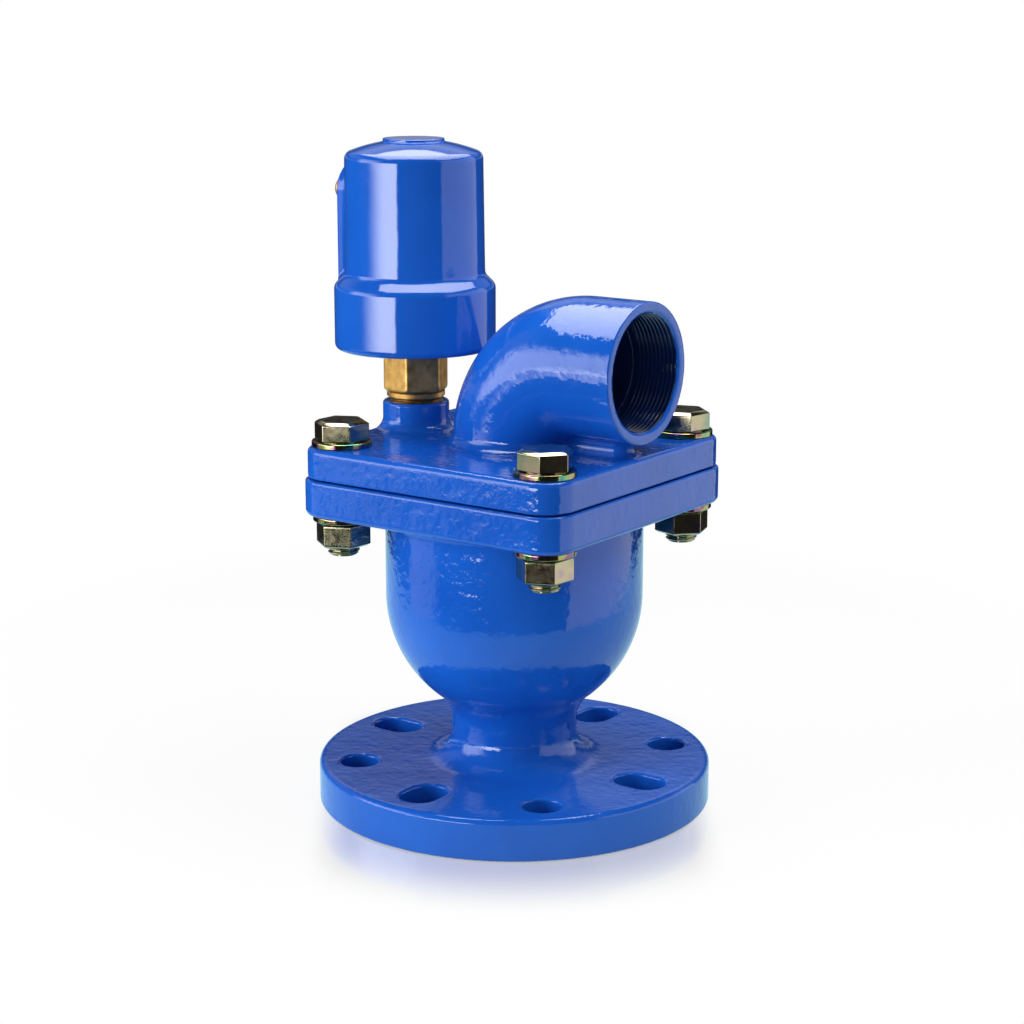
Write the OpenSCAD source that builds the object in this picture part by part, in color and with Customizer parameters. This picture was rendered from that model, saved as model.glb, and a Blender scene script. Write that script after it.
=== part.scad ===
// Combination air release valve: a float chamber with a flanged inlet below and a
// threaded side outlet above, and a small automatic vent valve on its cover.
// Millimetres. The origin is the centre of the inlet face, +Z is up, +X is the outlet.

/* [Inlet flange] */
// Diameter of the inlet flange
flange_d = 200; // [196:1:220]
// Thickness of the inlet flange
flange_t = 21; // [18:0.5:24]
// Rounding of the flange's upper rim
flange_edge = 2.8; // [1:0.1:4]
// Rounding of the flange's lower rim
face_edge = 1; // [0.5:0.1:2]
// Bolt circle of the round holes, which the slots reach too
bolt_circle = 160; // [154:1:166]
// Smaller bolt circle at the slots' inner end
slot_circle = 145; // [140:1:150]
// Diameter of the flange's holes, and the width of its slots
flange_hole_d = 19; // [14:0.5:21]
// Diameter of the inlet bore
inlet_d = 50; // [42:1:52]

/* [Body] */
// Inside diameter of the bowl
bowl_d = 116; // [114:1:118]
// Height of the bowl's centre, where its round bottom meets its straight side
bowl_z = 107; // [103:0.5:111]
// Wall of the bowl and of the neck
wall = 7; // [5:0.5:8]
// Fillet from the neck out to the inlet flange
neck_fillet = 14; // [8:0.5:16]
// Fillet from the neck up to the bowl
bowl_fillet = 8; // [4:0.5:10]
// Height of the joint between the body and its cover
joint_z = 169; // [166.5:0.5:173]
// Distance from a cover bolt to the edge of the body's square flange
body_margin = 17.75; // [16.5:0.05:20]
// Thickness of the body's square flange
body_flange_t = 18.5; // [15:0.5:21]

/* [Cover] */
// Distance from a cover bolt to the edge of the square cover
cover_margin = 16.75; // [16:0.05:20]
// Thickness of the cover
cover_t = 16; // [14:0.5:19]
// Corner radius of the two square plates
corner_r = 16; // [10:0.5:20]
// Rounding of the plates' outer edges
plate_edge = 3; // [1:0.1:4]
// Rounding of the plates' edges along the joint
seam_edge = 1.2; // [0.4:0.1:2]
// Reach of the outlet's face from the valve's axis
outlet_x = 76.7; // [72:0.1:84]
// Height of the outlet's axis above the cover
outlet_h = 41; // [40:0.5:45]
// Outside diameter of the elbow
elbow_d = 69; // [66:0.5:72]
// Where the bend ends and the straight outlet starts
bend_x = 45.6; // [44:0.1:48]
// Bore of the elbow
elbow_bore_d = 50; // [40:1:52]
// Minor diameter of the outlet's pipe thread
outlet_thread_d = 56.66; // [54:0.02:58]
// Depth of the outlet's pipe thread
outlet_thread_l = 24; // [18:0.5:26]
// Fillet round the elbow's foot
elbow_fillet = 6; // [2:0.5:7]
// Thickness of the web under the elbow
web_t = 13; // [8:0.5:16]

/* [Cover bolts] */
// Distance from the outside of the bowl to a bolt's axis
bolt_room = 21.25; // [20.5:0.05:23]
// Diameter of the bolts
bolt_d = 16; // [12:0.5:16]
// Room round a bolt in its hole, across the diameter
bolt_play = 1.5; // [1:0.1:2]
// Width of the bolt heads and nuts across flats
hex_af = 24; // [22:0.5:25]
// Height of the bolt heads
head_h = 10; // [8:0.5:11]
// Height of the nuts
nut_h = 13; // [10:0.5:15]
// Diameter of the washers
washer_d = 30; // [26:0.5:30]
// Thickness of the washers
washer_t = 3; // [2:0.1:4]
// Length of bolt that shows below its nut
bolt_end = 4.5; // [1:0.5:8]

/* [Main float] */
// Diameter of the main float
float_d = 84; // [78:0.5:86]
// Travel of the main float up to its seal
float_lift = 30; // [24:0.5:32]
// Room between the float and the basket that guides it
float_play = 1; // [0.5:0.1:2]
// Wall of the basket
basket_wall = 3; // [2:0.1:4]
// Number of windows in the basket
basket_windows = 6; // [4:1:8]
// Width of a window
window_w = 24; // [16:0.5:26]
// Bore of the orifice seat
orifice_d = 50; // [44:1:50]
// Thickness of the seat's flange, which lies in the cover
seat_t = 8; // [6:0.5:9]
// Radial width of the seat's seal
seal_w = 6; // [4:0.5:7]
// Thickness of the seat's seal
seal_t = 4; // [3:0.1:5]
// Section diameter of the joint's sealing ring
joint_ring_d = 5; // [3:0.1:6]

/* [Vent valve] */
// Distance of the vent valve's axis from the main axis
vent_x = 62; // [61:0.5:64]
// Diameter of the boss on the cover
boss_d = 34; // [32:0.5:36]
// Height of the boss above the cover
boss_h = 14; // [11:0.5:17]
// Fillet round the foot of the boss
boss_fillet = 3; // [2:0.5:8]
// Diameter of the pipe thread in the boss
port_d = 26.44; // [20:0.02:27]
// Depth of the thread in the boss
port_depth = 20; // [18:0.5:22]
// Air passage from the bowl to the boss
passage_d = 8; // [6:0.5:8.5]
// Thread that shows between the boss and the collar
thread_show = 1.5; // [1:0.1:5]
// Diameter of the brass collar
collar_d = 29.8; // [28.5:0.1:32]
// Height of the brass collar
collar_h = 3.2; // [2:0.1:6]
// Width of the brass hexagon across flats
base_af = 29.5; // [28:0.5:32]
// Height of the brass hexagon below the housing
base_hex_h = 22.2; // [18:0.2:26]
// Bore of the brass base
base_bore_d = 14; // [8:0.5:16]
// Diameter of the housing's skirt
skirt_d = 82; // [79:0.5:84]
// Height of the skirt up to its bevel
skirt_h = 32.4; // [29:0.2:36]
// Diameter of the housing
housing_d = 70.6; // [69:0.2:74]
// Height of the housing up to its shoulder
housing_h = 99.3; // [97:0.1:103]
// Rise of the domed crown from the shoulder to its pad
crown_h = 4.8; // [3:0.1:9]
// Diameter of the pad on the crown
pad_d = 31; // [20:0.5:40]
// Height of the pad on the crown
pad_h = 1.7; // [1:0.1:4]
// Bore of the housing
housing_bore_d = 58.4; // [57:0.1:60]
// Diameter of the thread that holds the brass base
base_d = 67; // [65:0.5:69]
// Thickness of the brass base's disc
base_disc_t = 12; // [10:0.5:13]
// Thickness of the base's gasket
gasket_t = 3; // [2:0.1:4]
// Thickness of the housing's roof at the shoulder
roof_t = 7.4; // [7:0.1:9]

/* [Vent mechanism] */
// Diameter of the vent float
vent_float_d = 52; // [44:0.5:54]
// Height of the yoke's pin above the vent float
yoke_h = 7.9; // [7:0.1:12]
// Room between the float's guide ribs and the housing
rib_play = 0.3; // [0.2:0.05:1]
// Depth of the nozzle's axis below the housing's shoulder
nozzle_drop = 20.7; // [20:0.1:22.5]
// Diameter of the nozzle's head
nozzle_d = 12; // [10:0.1:13]
// Length of the nozzle's head outside its pad
nozzle_head = 8.9; // [5:0.1:10]
// How far the nozzle's pad stands out from the housing
nozzle_pad = 3.7; // [3:0.1:5]
// Half width of the nozzle's pad, and the radius of its round top
nozzle_pad_r = 14.5; // [12:0.1:16]
// Distance from the vent's axis back to the lever's pivot
arm_l = 17; // [15:0.5:18]
// Height of the nozzle above the lever's pivot
pad_arm = 10; // [9.5:0.5:11]
// Swing of the lever from open to closed
lever_swing = 12; // [6:1:14]
// Diameter of the pivot pin and of the yoke's pin
pin_d = 3; // [2:0.1:3.4]
// Width of the lever
lever_w = 7; // [5:0.5:7]

/* [Hidden] */
$fn = 96;

// Fits and small steps
fit = 0.05;      // radial clearance of a spigot, thread or pin
rest_gap = 0.3;  // room between a moving piece and what stops it
over = 1;        // how far a cut runs past the face that it opens

// Paint and metals
blue = "#1d57c4";
zinc = "#8f8658";
brass_colour = "#a5803c";
bronze = "#9a6a3a";
black = "#202224";
steel = "#b9bcc0";
float_white = "#e4e2da";

// Body
flange_r = flange_d / 2;
inlet_r = inlet_d / 2;
neck_r = inlet_r + wall;
bowl_in = bowl_d / 2;
bowl_out = bowl_in + wall;
neck_top = bowl_z - sqrt(pow(bowl_out + bowl_fillet, 2) - pow(neck_r + bowl_fillet, 2));
flange_under = joint_z - body_flange_t;
bolt_pitch = (bowl_out + bolt_room) * sqrt(2);
body_side = bolt_pitch + 2 * body_margin;
cover_side = bolt_pitch + 2 * cover_margin;
plate_fillet = bolt_room - washer_d / 2 - rest_gap;
basket_ring_t = 4;
mouth_step = 2.8;
mouth_r = bowl_in + mouth_step;
groove_land = 2.4;
groove_w = joint_ring_d + 2 * fit;
ring_groove_r = mouth_r + groove_land + joint_ring_d / 2;

// Cover and elbow
cover_top = joint_z + cover_t;
outlet_z = cover_top + outlet_h;
elbow_r = elbow_d / 2;
elbow_bore = elbow_bore_d / 2;
thread_r = outlet_thread_d / 2;
mouth_chamfer = 0.6;
foot_sink = 0.8;
web_setback = 8.5;
web_nose = outlet_x - web_setback - web_t / 2;
web_fillet = 5;
web_sink = 3;
boss_top = cover_top + boss_h;
port_r = port_d / 2;
port_floor = boss_top - port_depth;

// Bolts
bolt_r = bolt_d / 2;
bolt_hole_r = (bolt_d + bolt_play) / 2;
bolt_places = [[-1, -1], [1, -1], [1, 1], [-1, 1]];
head_turns = [26, -6, 18, 40];
nut_turns = [25, 24, 46, 10];
head_z = cover_top + washer_t;
nut_z = flange_under - washer_t;
bolt_low = nut_z - nut_h - bolt_end;

// Main float, its seat and its basket
float_r = float_d / 2;
orifice_r = orifice_d / 2;
seat_lip = 2;
seal_in = orifice_r + seat_lip;
seal_out = seal_in + seal_w;
seal_round = 2;
seal_depth = 3;
seal_top = joint_z - seal_depth;
seal_low = seal_top - seal_t;
seal_proud = 0.5;
nose_wall = 4;
nose_r = seal_out + nose_wall;
nose_low = seal_low + seal_proud;
seat_reach = float_r + seal_round + rest_gap;
seal_mid_r = seal_in + seal_round;
seal_mid_z = seal_low + seal_round;
float_closed = seal_mid_z - sqrt(pow(seat_reach, 2) - pow(seal_mid_r, 2));
float_z = float_closed - float_lift;
basket_in = float_r + float_play;
basket_out = basket_in + basket_wall;
basket_rim = mouth_r - rest_gap;
passage_x = (basket_out + basket_rim) / 2;
seat_r = basket_out;
basket_cup = float_r + rest_gap;
basket_lip = 5;
basket_hole = inlet_r - basket_lip;
window_land = 4;
window_low = float_z - float_r / 2;
window_high = joint_z - basket_ring_t - window_land;
basket_vents = 12;

// Vent valve
spigot_r = port_r - fit;
spigot_gap = 2;
spigot_low = port_floor + spigot_gap;
base_turn = -8.5;
collar_edge = 1;
hex_turned = 2.2;
collar_z = boss_top + thread_show;
base_hex_z = collar_z + collar_h;
housing_z = base_hex_z + base_hex_h;
housing_r = housing_d / 2;
skirt_r = skirt_d / 2;
skirt_round = 3;
shoulder_round = 2.5;
bevel_h = skirt_r - housing_r;
shoulder_z = housing_z + housing_h;
crown_z = shoulder_z + crown_h;
housing_bore = housing_bore_d / 2;
base_r = base_d / 2;
base_inset = 1.6;
disc_z = housing_z + base_inset;
disc_top = disc_z + base_disc_t;
ledge_z = disc_top + gasket_t;
roof_z = shoulder_z - roof_t;
base_flare = 5;

// Vent mechanism, with the lever's pivot as its reference
float_feet = 2;
foot_r = 2.5;
rib_w = 3;
rib_root = 2;
float_edge = 4;
vent_float_z = disc_top + rest_gap + float_feet;
nozzle_z = shoulder_z - nozzle_drop;
pad_face = housing_r + nozzle_pad;
nozzle_shank = 4;
nozzle_tip_r = 2.5;
tip_reach = 4.2;
nozzle_tip = housing_bore - tip_reach;
nozzle_hole = 0.8;
nozzle_seal_r = 0.5;
pivot_z = nozzle_z - pad_arm;
half_swing = lever_swing / 2;
eye_r = 3.4;
pin_r = pin_d / 2;
eye_play = 0.25;
hub_r = 3.8;
yoke_pin_z = pivot_z - arm_l * sin(half_swing);
vent_float_top = yoke_pin_z - yoke_h;
vent_float_h = vent_float_top - vent_float_z;
yoke_in = lever_w / 2 + rest_gap;
cheek_t = 1.5;
yoke_out = yoke_in + cheek_t;
pin_proud = 0.5;
arm_t = 4;
post_t = 4.8;
ear_gap = 1.5;
ear_in = lever_w / 2 + ear_gap;
ear_t = 2;
pad_holder_r = 4.4;
pad_r = 3.2;
pad_t = 3;
pad_proud = 1;
pad_reach = nozzle_tip - arm_l - rest_gap;
bracket_t = 3;
bracket_low = roof_z - bracket_t;
screw_r = 2;
screw_head_r = 3.6;
screw_head_h = 2.4;
screw_places = [-8, 8];
screw_depth = 5;

// A square plate with rounded corners, and a rounding of its own along each edge
module plate_section(t, low, high) {
    square([corner_r - low, t / 2]);
    translate([0, t / 2]) square([corner_r - high, t / 2]);
    translate([0, low]) square([corner_r, t - low - high]);
    translate([corner_r - low, low]) circle(low);
    translate([corner_r - high, t - high]) circle(high);
}

module square_plate(side, t, low, high) {
    run = side - 2 * corner_r;
    translate([-run / 2, -run / 2, 0]) cube([run, run, t]);
    for (turn = [0 : 90 : 270]) rotate(turn) translate([run / 2, run / 2, 0]) {
        rotate_extrude(angle = 90) plate_section(t, low, high);
        rotate([90, 0, 0]) linear_extrude(run) plate_section(t, low, high);
    }
}

// Half section of a round foot: a post of radius r that flares out in a fillet
module flare_section(r, fillet) {
    difference() {
        square([r + fillet, fillet]);
        translate([r + fillet, fillet]) circle(fillet);
    }
}

// A ring of round section
module o_ring(r, section_r) {
    rotate_extrude() translate([r, 0]) circle(section_r);
}

// A hexagon bar, measured across its flats
module hex_bar(af, h) {
    cylinder(d = af / cos(30), h = h, $fn = 6);
}

// A hexagon whose upper corners, and lower ones if asked, are turned off to a cone
module turned_hex(af, h, both) {
    cut = af * (1 / cos(30) - 1) / 2;
    drop = cut * tan(30);
    corner = af / 2 + cut;
    low = both ? drop : 0;
    intersection() {
        hex_bar(af, h);
        rotate_extrude() polygon([[0, 0], [corner - low / tan(30), 0], [corner, low],
            [corner, h - drop], [corner - cut, h], [0, h]]);
    }
}

// A straight hole through a plate of thickness t that starts at height z
module hole(z, t, r) {
    translate([0, 0, z - over]) cylinder(r = r, h = t + 2 * over);
}

// Puts a child at each cover bolt
module at_bolts() {
    for (place = bolt_places) translate(place * bolt_pitch / 2) children();
}

// Puts a child on the vent valve's axis
module at_vent() {
    translate([-vent_x, 0, 0]) children();
}

// A quarter bend in the plane of the outlet, from straight up to straight out
module bend(radius, r) {
    translate([bend_x, 0, outlet_z - radius]) rotate([90, 0, 0]) rotate(90)
        rotate_extrude(angle = 90) translate([radius, 0]) circle(r);
}

// A round bar or hole along the outlet's axis
module along_outlet(from, to, r1, r2) {
    translate([from, 0, outlet_z]) rotate([0, 90, 0]) cylinder(r1 = r1, r2 = r2, h = to - from);
}

// Inlet flange, neck and bowl in half section
module body_outside() {
    square([flange_r - flange_edge, flange_t]);
    square([flange_r - face_edge, flange_t / 2]);
    translate([0, face_edge]) square([flange_r, flange_t - face_edge - flange_edge]);
    translate([flange_r - face_edge, face_edge]) circle(face_edge);
    translate([flange_r - flange_edge, flange_t - flange_edge]) circle(flange_edge);
    translate([0, flange_t]) flare_section(neck_r, neck_fillet);
    square([neck_r, bowl_z]);
    difference() {
        polygon([[0, neck_top], [neck_r + bowl_fillet, neck_top], [0, bowl_z]]);
        translate([neck_r + bowl_fillet, neck_top]) circle(bowl_fillet);
    }
    intersection() {
        translate([0, bowl_z]) circle(bowl_out);
        square([bowl_out, joint_z]);
    }
    translate([0, bowl_z]) square([bowl_out, joint_z - bowl_z - over]);
    translate([0, flange_under]) mirror([0, 1]) flare_section(bowl_out, plate_fillet);
}

module body_inside() {
    translate([0, -over]) square([inlet_r, bowl_z]);
    intersection() {
        translate([0, bowl_z]) circle(bowl_in);
        square([bowl_in, joint_z]);
    }
    translate([0, bowl_z]) square([bowl_in, joint_z]);
    translate([0, joint_z - basket_ring_t]) square([mouth_r, basket_ring_t + over]);
}

// Slot through the inlet flange between the two bolt circles
module flange_slot() {
    reach = (bolt_circle - slot_circle) / 2;
    translate([slot_circle / 2, 0, -over]) linear_extrude(flange_t + 2 * over) {
        for (x = [0, reach]) translate([x, 0]) circle(d = flange_hole_d);
        translate([0, -flange_hole_d / 2]) square([reach, flange_hole_d]);
    }
}

module body() color(blue) difference() {
    union() {
        rotate_extrude() body_outside();
        translate([0, 0, flange_under]) square_plate(body_side, body_flange_t, plate_edge, seam_edge);
    }
    rotate_extrude() body_inside();
    for (turn = [0 : 90 : 270]) rotate(turn) {
        flange_slot();
        rotate(45) translate([bolt_circle / 2, 0, 0]) hole(0, flange_t, flange_hole_d / 2);
    }
    at_bolts() hole(flange_under, body_flange_t, bolt_hole_r);
    translate([0, 0, joint_z - joint_ring_d - fit]) rotate_extrude()
        translate([ring_groove_r - groove_w / 2, 0]) square([groove_w, joint_ring_d + over]);
}

// Outside of the elbow, with its flared foot and the web that ties it to the cover
module elbow_outside() {
    foot_x = bend_x - outlet_h;
    bend(outlet_h, elbow_r);
    along_outlet(bend_x, outlet_x, elbow_r, elbow_r);
    translate([foot_x, 0, cover_top]) rotate_extrude() flare_section(elbow_r - foot_sink, elbow_fillet);
    web_h = outlet_h - elbow_r + web_sink + over;
    translate([foot_x, -web_t / 2, cover_top - over]) cube([web_nose - foot_x, web_t, web_h]);
    translate([web_nose, 0, cover_top - over]) cylinder(d = web_t, h = web_h);
    translate([web_nose, 0, cover_top]) rotate_extrude() flare_section(web_t / 2, web_fillet);
    translate([foot_x, 0, cover_top]) rotate([90, 0, 90]) linear_extrude(web_nose - foot_x) {
        flare_section(web_t / 2, web_fillet);
        mirror([1, 0]) flare_section(web_t / 2, web_fillet);
    }
}

// Boss for the vent valve, with its flared foot kept on the plate
module vent_boss() {
    boss_r = boss_d / 2;
    boss_edge = 1.5;
    boss_low = joint_z + plate_edge;
    edge_z = boss_top - boss_edge;
    half = cover_side / 2;
    at_vent() {
        translate([0, 0, boss_low]) cylinder(r = boss_r, h = edge_z - boss_low);
        translate([0, 0, edge_z]) rotate_extrude() {
            square([boss_r - boss_edge, boss_edge]);
            intersection() {
                translate([boss_r - boss_edge, 0]) circle(boss_edge);
                square([boss_r, boss_edge]);
            }
        }
    }
    intersection() {
        at_vent() translate([0, 0, cover_top]) rotate_extrude() flare_section(boss_r, boss_fillet);
        translate([plate_edge - half, -half, cover_top]) cube([cover_side, cover_side, boss_h]);
    }
}

// Everything that is bored out of the cover for air and for its fittings
module cover_bores() {
    translate([0, 0, joint_z - over]) cylinder(r = seat_r + fit, h = seat_t + over);
    translate([0, 0, joint_z]) cylinder(r = elbow_bore, h = outlet_z - bend_x - joint_z);
    bend(bend_x, elbow_bore);
    along_outlet(bend_x, outlet_x + over, elbow_bore, elbow_bore);
    along_outlet(outlet_x - outlet_thread_l, outlet_x + over, thread_r, thread_r);
    along_outlet(outlet_x - mouth_chamfer, outlet_x + over, thread_r, thread_r + mouth_chamfer + over);
    at_bolts() hole(joint_z, cover_t, bolt_hole_r);
    at_vent() translate([0, 0, port_floor]) cylinder(r = port_r, h = port_depth + over);
    translate([-passage_x, 0, 0]) hole(joint_z, port_floor - joint_z, passage_d / 2);
}

module cover() color(blue) difference() {
    union() {
        translate([0, 0, joint_z]) square_plate(cover_side, cover_t, seam_edge, plate_edge);
        elbow_outside();
        vent_boss();
    }
    cover_bores();
}

module joint_ring() color(black) translate([0, 0, joint_z - joint_ring_d / 2 - fit / 2])
    o_ring(ring_groove_r, joint_ring_d / 2);

// Bronze orifice seat: a flange in the cover and a nose that holds the seal
module orifice_seat() color(bronze) rotate_extrude() difference() {
    translate([orifice_r, 0]) {
        translate([0, joint_z]) square([seat_r - orifice_r, seat_t]);
        translate([0, nose_low]) square([nose_r - orifice_r, joint_z - nose_low]);
    }
    translate([0, nose_low - over]) square([seal_out + fit, seal_top - nose_low + over]);
}

module seat_seal() color(black) rotate_extrude() {
    translate([seal_mid_r, seal_low]) square([seal_out - seal_mid_r, seal_t]);
    translate([seal_in, seal_mid_z]) square([seal_w, seal_top - seal_mid_z]);
    translate([seal_mid_r, seal_mid_z]) circle(seal_round);
}

// Basket that guides the main float and carries it when the valve is empty
module float_basket() color(steel) difference() {
    rotate_extrude() difference() {
        union() {
            translate([0, float_z]) square([basket_out, joint_z - float_z]);
            intersection() {
                translate([0, float_z]) circle(basket_out);
                square([basket_out, joint_z]);
            }
            translate([0, joint_z - basket_ring_t]) square([basket_rim, basket_ring_t]);
        }
        translate([0, float_z]) square([basket_in, joint_z]);
        translate([0, float_z]) circle(basket_cup);
        square([basket_hole, joint_z]);
    }
    for (i = [0 : basket_windows - 1]) rotate(i * 360 / basket_windows) {
        translate([0, -window_w / 2, window_low + window_w / 2])
            cube([basket_out + over, window_w, window_high - window_low - window_w]);
        for (z = [window_low, window_high - window_w]) translate([0, 0, z + window_w / 2])
            rotate([0, 90, 0]) cylinder(d = window_w, h = basket_out + over);
    }
    for (i = [0 : basket_vents - 1]) rotate(i * 360 / basket_vents)
        translate([passage_x, 0, 0]) hole(joint_z - basket_ring_t, basket_ring_t, passage_d / 2);
}

module main_float() color(float_white) translate([0, 0, float_z]) sphere(float_r);

module cover_bolts() color(zinc) for (i = [0 : 3])
    translate([bolt_places[i].x * bolt_pitch / 2, bolt_places[i].y * bolt_pitch / 2, 0]) {
        translate([0, 0, head_z]) rotate(head_turns[i]) turned_hex(hex_af, head_h, false);
        translate([0, 0, bolt_low]) cylinder(r = bolt_r, h = head_z - bolt_low);
    }

module washer() {
    difference() {
        cylinder(d = washer_d, h = washer_t);
        hole(0, washer_t, (bolt_r + bolt_hole_r) / 2);
    }
}

module head_washers() color(zinc) at_bolts() translate([0, 0, cover_top]) washer();

module nut_washers() color(zinc) at_bolts() translate([0, 0, nut_z]) washer();

module cover_nuts() color(zinc) for (i = [0 : 3])
    translate([bolt_places[i].x * bolt_pitch / 2, bolt_places[i].y * bolt_pitch / 2, nut_z - nut_h])
        difference() {
            rotate(nut_turns[i]) turned_hex(hex_af, nut_h, true);
            hole(0, nut_h, bolt_r + fit);
        }

// Vent housing in half section
module housing_outside() {
    skirt_top = housing_z + skirt_h;
    bevel_top = skirt_top + bevel_h;
    crown_r = housing_r - shoulder_round;
    dome_drop = (pow(crown_r, 2) - pow(pad_d / 2, 2) - pow(crown_h, 2)) / (2 * crown_h);
    dome_r = sqrt(pow(crown_r, 2) + pow(dome_drop, 2));
    translate([0, housing_z]) square([skirt_r - skirt_round, skirt_h]);
    translate([0, housing_z + skirt_round]) square([skirt_r, skirt_h - skirt_round]);
    translate([skirt_r - skirt_round, housing_z + skirt_round]) circle(skirt_round);
    polygon([[0, skirt_top], [skirt_r, skirt_top], [housing_r, bevel_top], [0, bevel_top]]);
    translate([0, skirt_top]) square([housing_r, shoulder_z - skirt_top - shoulder_round]);
    translate([crown_r, shoulder_z - shoulder_round]) circle(shoulder_round);
    translate([0, skirt_top]) square([crown_r, shoulder_z - skirt_top]);
    intersection() {
        translate([0, shoulder_z - dome_drop]) circle(dome_r);
        translate([0, skirt_top]) square([crown_r, crown_z - skirt_top + pad_h]);
    }
    translate([0, shoulder_z]) square([pad_d / 2, crown_h + pad_h]);
}

module housing_inside() {
    translate([0, housing_z - over]) square([base_r, ledge_z - housing_z + over]);
    translate([0, ledge_z - over]) square([housing_bore, roof_z - ledge_z + over]);
}

// Pad with a round top that carries the nozzle, on the side away from the outlet
module nozzle_pad_block() {
    depth = pad_face - housing_bore;
    low = housing_z + skirt_h - over;
    translate([-pad_face, 0, nozzle_z]) rotate([0, 90, 0]) cylinder(r = nozzle_pad_r, h = depth);
    translate([-pad_face, -nozzle_pad_r, low]) cube([depth, 2 * nozzle_pad_r, nozzle_z - low]);
}

module vent_housing() color(blue) at_vent() difference() {
    union() {
        rotate_extrude() housing_outside();
        intersection() {
            nozzle_pad_block();
            cylinder(r = pad_face + nozzle_pad, h = crown_z);
        }
    }
    rotate_extrude() housing_inside();
    translate([-pad_face - over, 0, nozzle_z]) rotate([0, 90, 0])
        cylinder(r = nozzle_shank + fit, h = pad_face);
    for (x = screw_places) translate([x, 0, 0]) hole(roof_z, screw_depth, screw_r + fit);
}

// Brass base: pipe thread, collar and hexagon below, threaded disc in the housing
module vent_base() color(brass_colour) at_vent() difference() {
    collar_r = collar_d / 2;
    corner = base_af / 2 / cos(30);
    clear_r = corner + over;
    slope = hex_turned / (corner - collar_r);
    bar_h = base_hex_h + base_inset;
    union() {
        translate([0, 0, spigot_low]) cylinder(r = spigot_r, h = collar_z - spigot_low);
        translate([0, 0, collar_z]) cylinder(d1 = collar_d - 2 * collar_edge, d2 = collar_d, h = collar_edge);
        translate([0, 0, collar_z + collar_edge]) cylinder(d = collar_d, h = collar_h - collar_edge);
        translate([0, 0, base_hex_z]) intersection() {
            rotate(base_turn) hex_bar(base_af, bar_h);
            rotate_extrude() polygon([[0, 0], [collar_r, 0], [clear_r, slope * (clear_r - collar_r)],
                [clear_r, bar_h], [0, bar_h]]);
        }
        translate([0, 0, disc_z]) rotate_extrude() mirror([0, 1]) flare_section(base_af / 2, base_flare);
        translate([0, 0, disc_z]) cylinder(r = base_r - fit, h = base_disc_t);
    }
    translate([0, 0, port_floor]) cylinder(d = base_bore_d, h = disc_top - port_floor + over);
}

module base_gasket() color(black) at_vent() translate([0, 0, disc_top]) difference() {
    cylinder(r = base_r - fit, h = gasket_t);
    hole(0, gasket_t, housing_bore + rest_gap);
}

// Brass nozzle: a round head outside, a shank in the wall and a tip for the seal pad
module vent_nozzle() color(brass_colour) at_vent() translate([0, 0, nozzle_z]) rotate([0, -90, 0]) {
    groove = housing_r;
    head_round = nozzle_d / 5;
    difference() {
        rotate_extrude() {
            difference() {
                translate([0, nozzle_tip]) square([nozzle_shank, pad_face - nozzle_tip]);
                translate([nozzle_shank - 2 * nozzle_seal_r - fit, groove - nozzle_seal_r - fit])
                    square([2 * nozzle_seal_r + over, 2 * nozzle_seal_r + 2 * fit]);
                translate([nozzle_tip_r, nozzle_tip - over]) square([nozzle_shank, tip_reach + over]);
            }
            translate([0, pad_face]) square([nozzle_d / 2, nozzle_head - head_round]);
            translate([0, pad_face]) square([nozzle_d / 2 - head_round, nozzle_head]);
            translate([nozzle_d / 2 - head_round, pad_face + nozzle_head - head_round]) circle(head_round);
        }
        translate([0, 0, nozzle_tip - over]) cylinder(r = nozzle_hole, h = pad_face);
        hole(pad_face, nozzle_head, nozzle_shank / 2);
    }
}

module nozzle_ring() color(black) at_vent() translate([-housing_r, 0, nozzle_z]) rotate([0, 90, 0])
    o_ring(nozzle_shank - nozzle_seal_r - fit / 2, nozzle_seal_r);

// Vent float with guide ribs on its side and feet under it
module vent_float() color(float_white) at_vent() translate([0, 0, vent_float_z]) {
    rib_end = sqrt(pow(housing_bore - rib_play, 2) - pow(rib_w / 2, 2));
    rib_start = vent_float_d / 2 - rib_root;
    rotate_extrude() {
        square([vent_float_d / 2 - float_edge, vent_float_h]);
        translate([0, float_edge]) square([vent_float_d / 2, vent_float_h - 2 * float_edge]);
        for (z = [float_edge, vent_float_h - float_edge])
            translate([vent_float_d / 2 - float_edge, z]) circle(float_edge);
    }
    for (turn = [60, 180, 300]) rotate(turn) {
        translate([rib_start, -rib_w / 2, 2 * float_edge])
            cube([rib_end - rib_start, rib_w, vent_float_h - 4 * float_edge]);
        translate([vent_float_d / 3, 0, -float_feet]) cylinder(r = foot_r, h = float_feet);
    }
}

// Steel yoke on the float: a foot plate and two cheeks for the lever's eye
module float_yoke() color(steel) at_vent() translate([0, 0, vent_float_top]) {
    yoke_w = 2 * eye_r;
    difference() {
        union() {
            translate([-yoke_w / 2, -yoke_out, 0]) cube([yoke_w, 2 * yoke_out, cheek_t]);
            for (side = [-1, 1]) translate([0, side * (yoke_in + cheek_t / 2), 0]) {
                translate([-yoke_w / 2, -cheek_t / 2, 0]) cube([yoke_w, cheek_t, yoke_h]);
                translate([0, cheek_t / 2, yoke_h]) rotate([90, 0, 0]) cylinder(r = yoke_w / 2, h = cheek_t);
            }
        }
        across(0, yoke_h, pin_r + fit, 2 * yoke_out + 2 * over);
    }
}

module yoke_pin() color(steel) at_vent() across(0, yoke_pin_z, pin_r, 2 * yoke_out + 2 * pin_proud);

// Puts a child, drawn closed round the pivot, where the open lever holds it
module at_lever() {
    at_vent() translate([-arm_l * cos(half_swing), 0, pivot_z]) rotate([0, lever_swing, 0]) children();
}

// A round bar or hole across the lever
module across(x, z, r, w) {
    translate([x, w / 2, z]) rotate([90, 0, 0]) cylinder(r = r, h = w);
}

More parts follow.
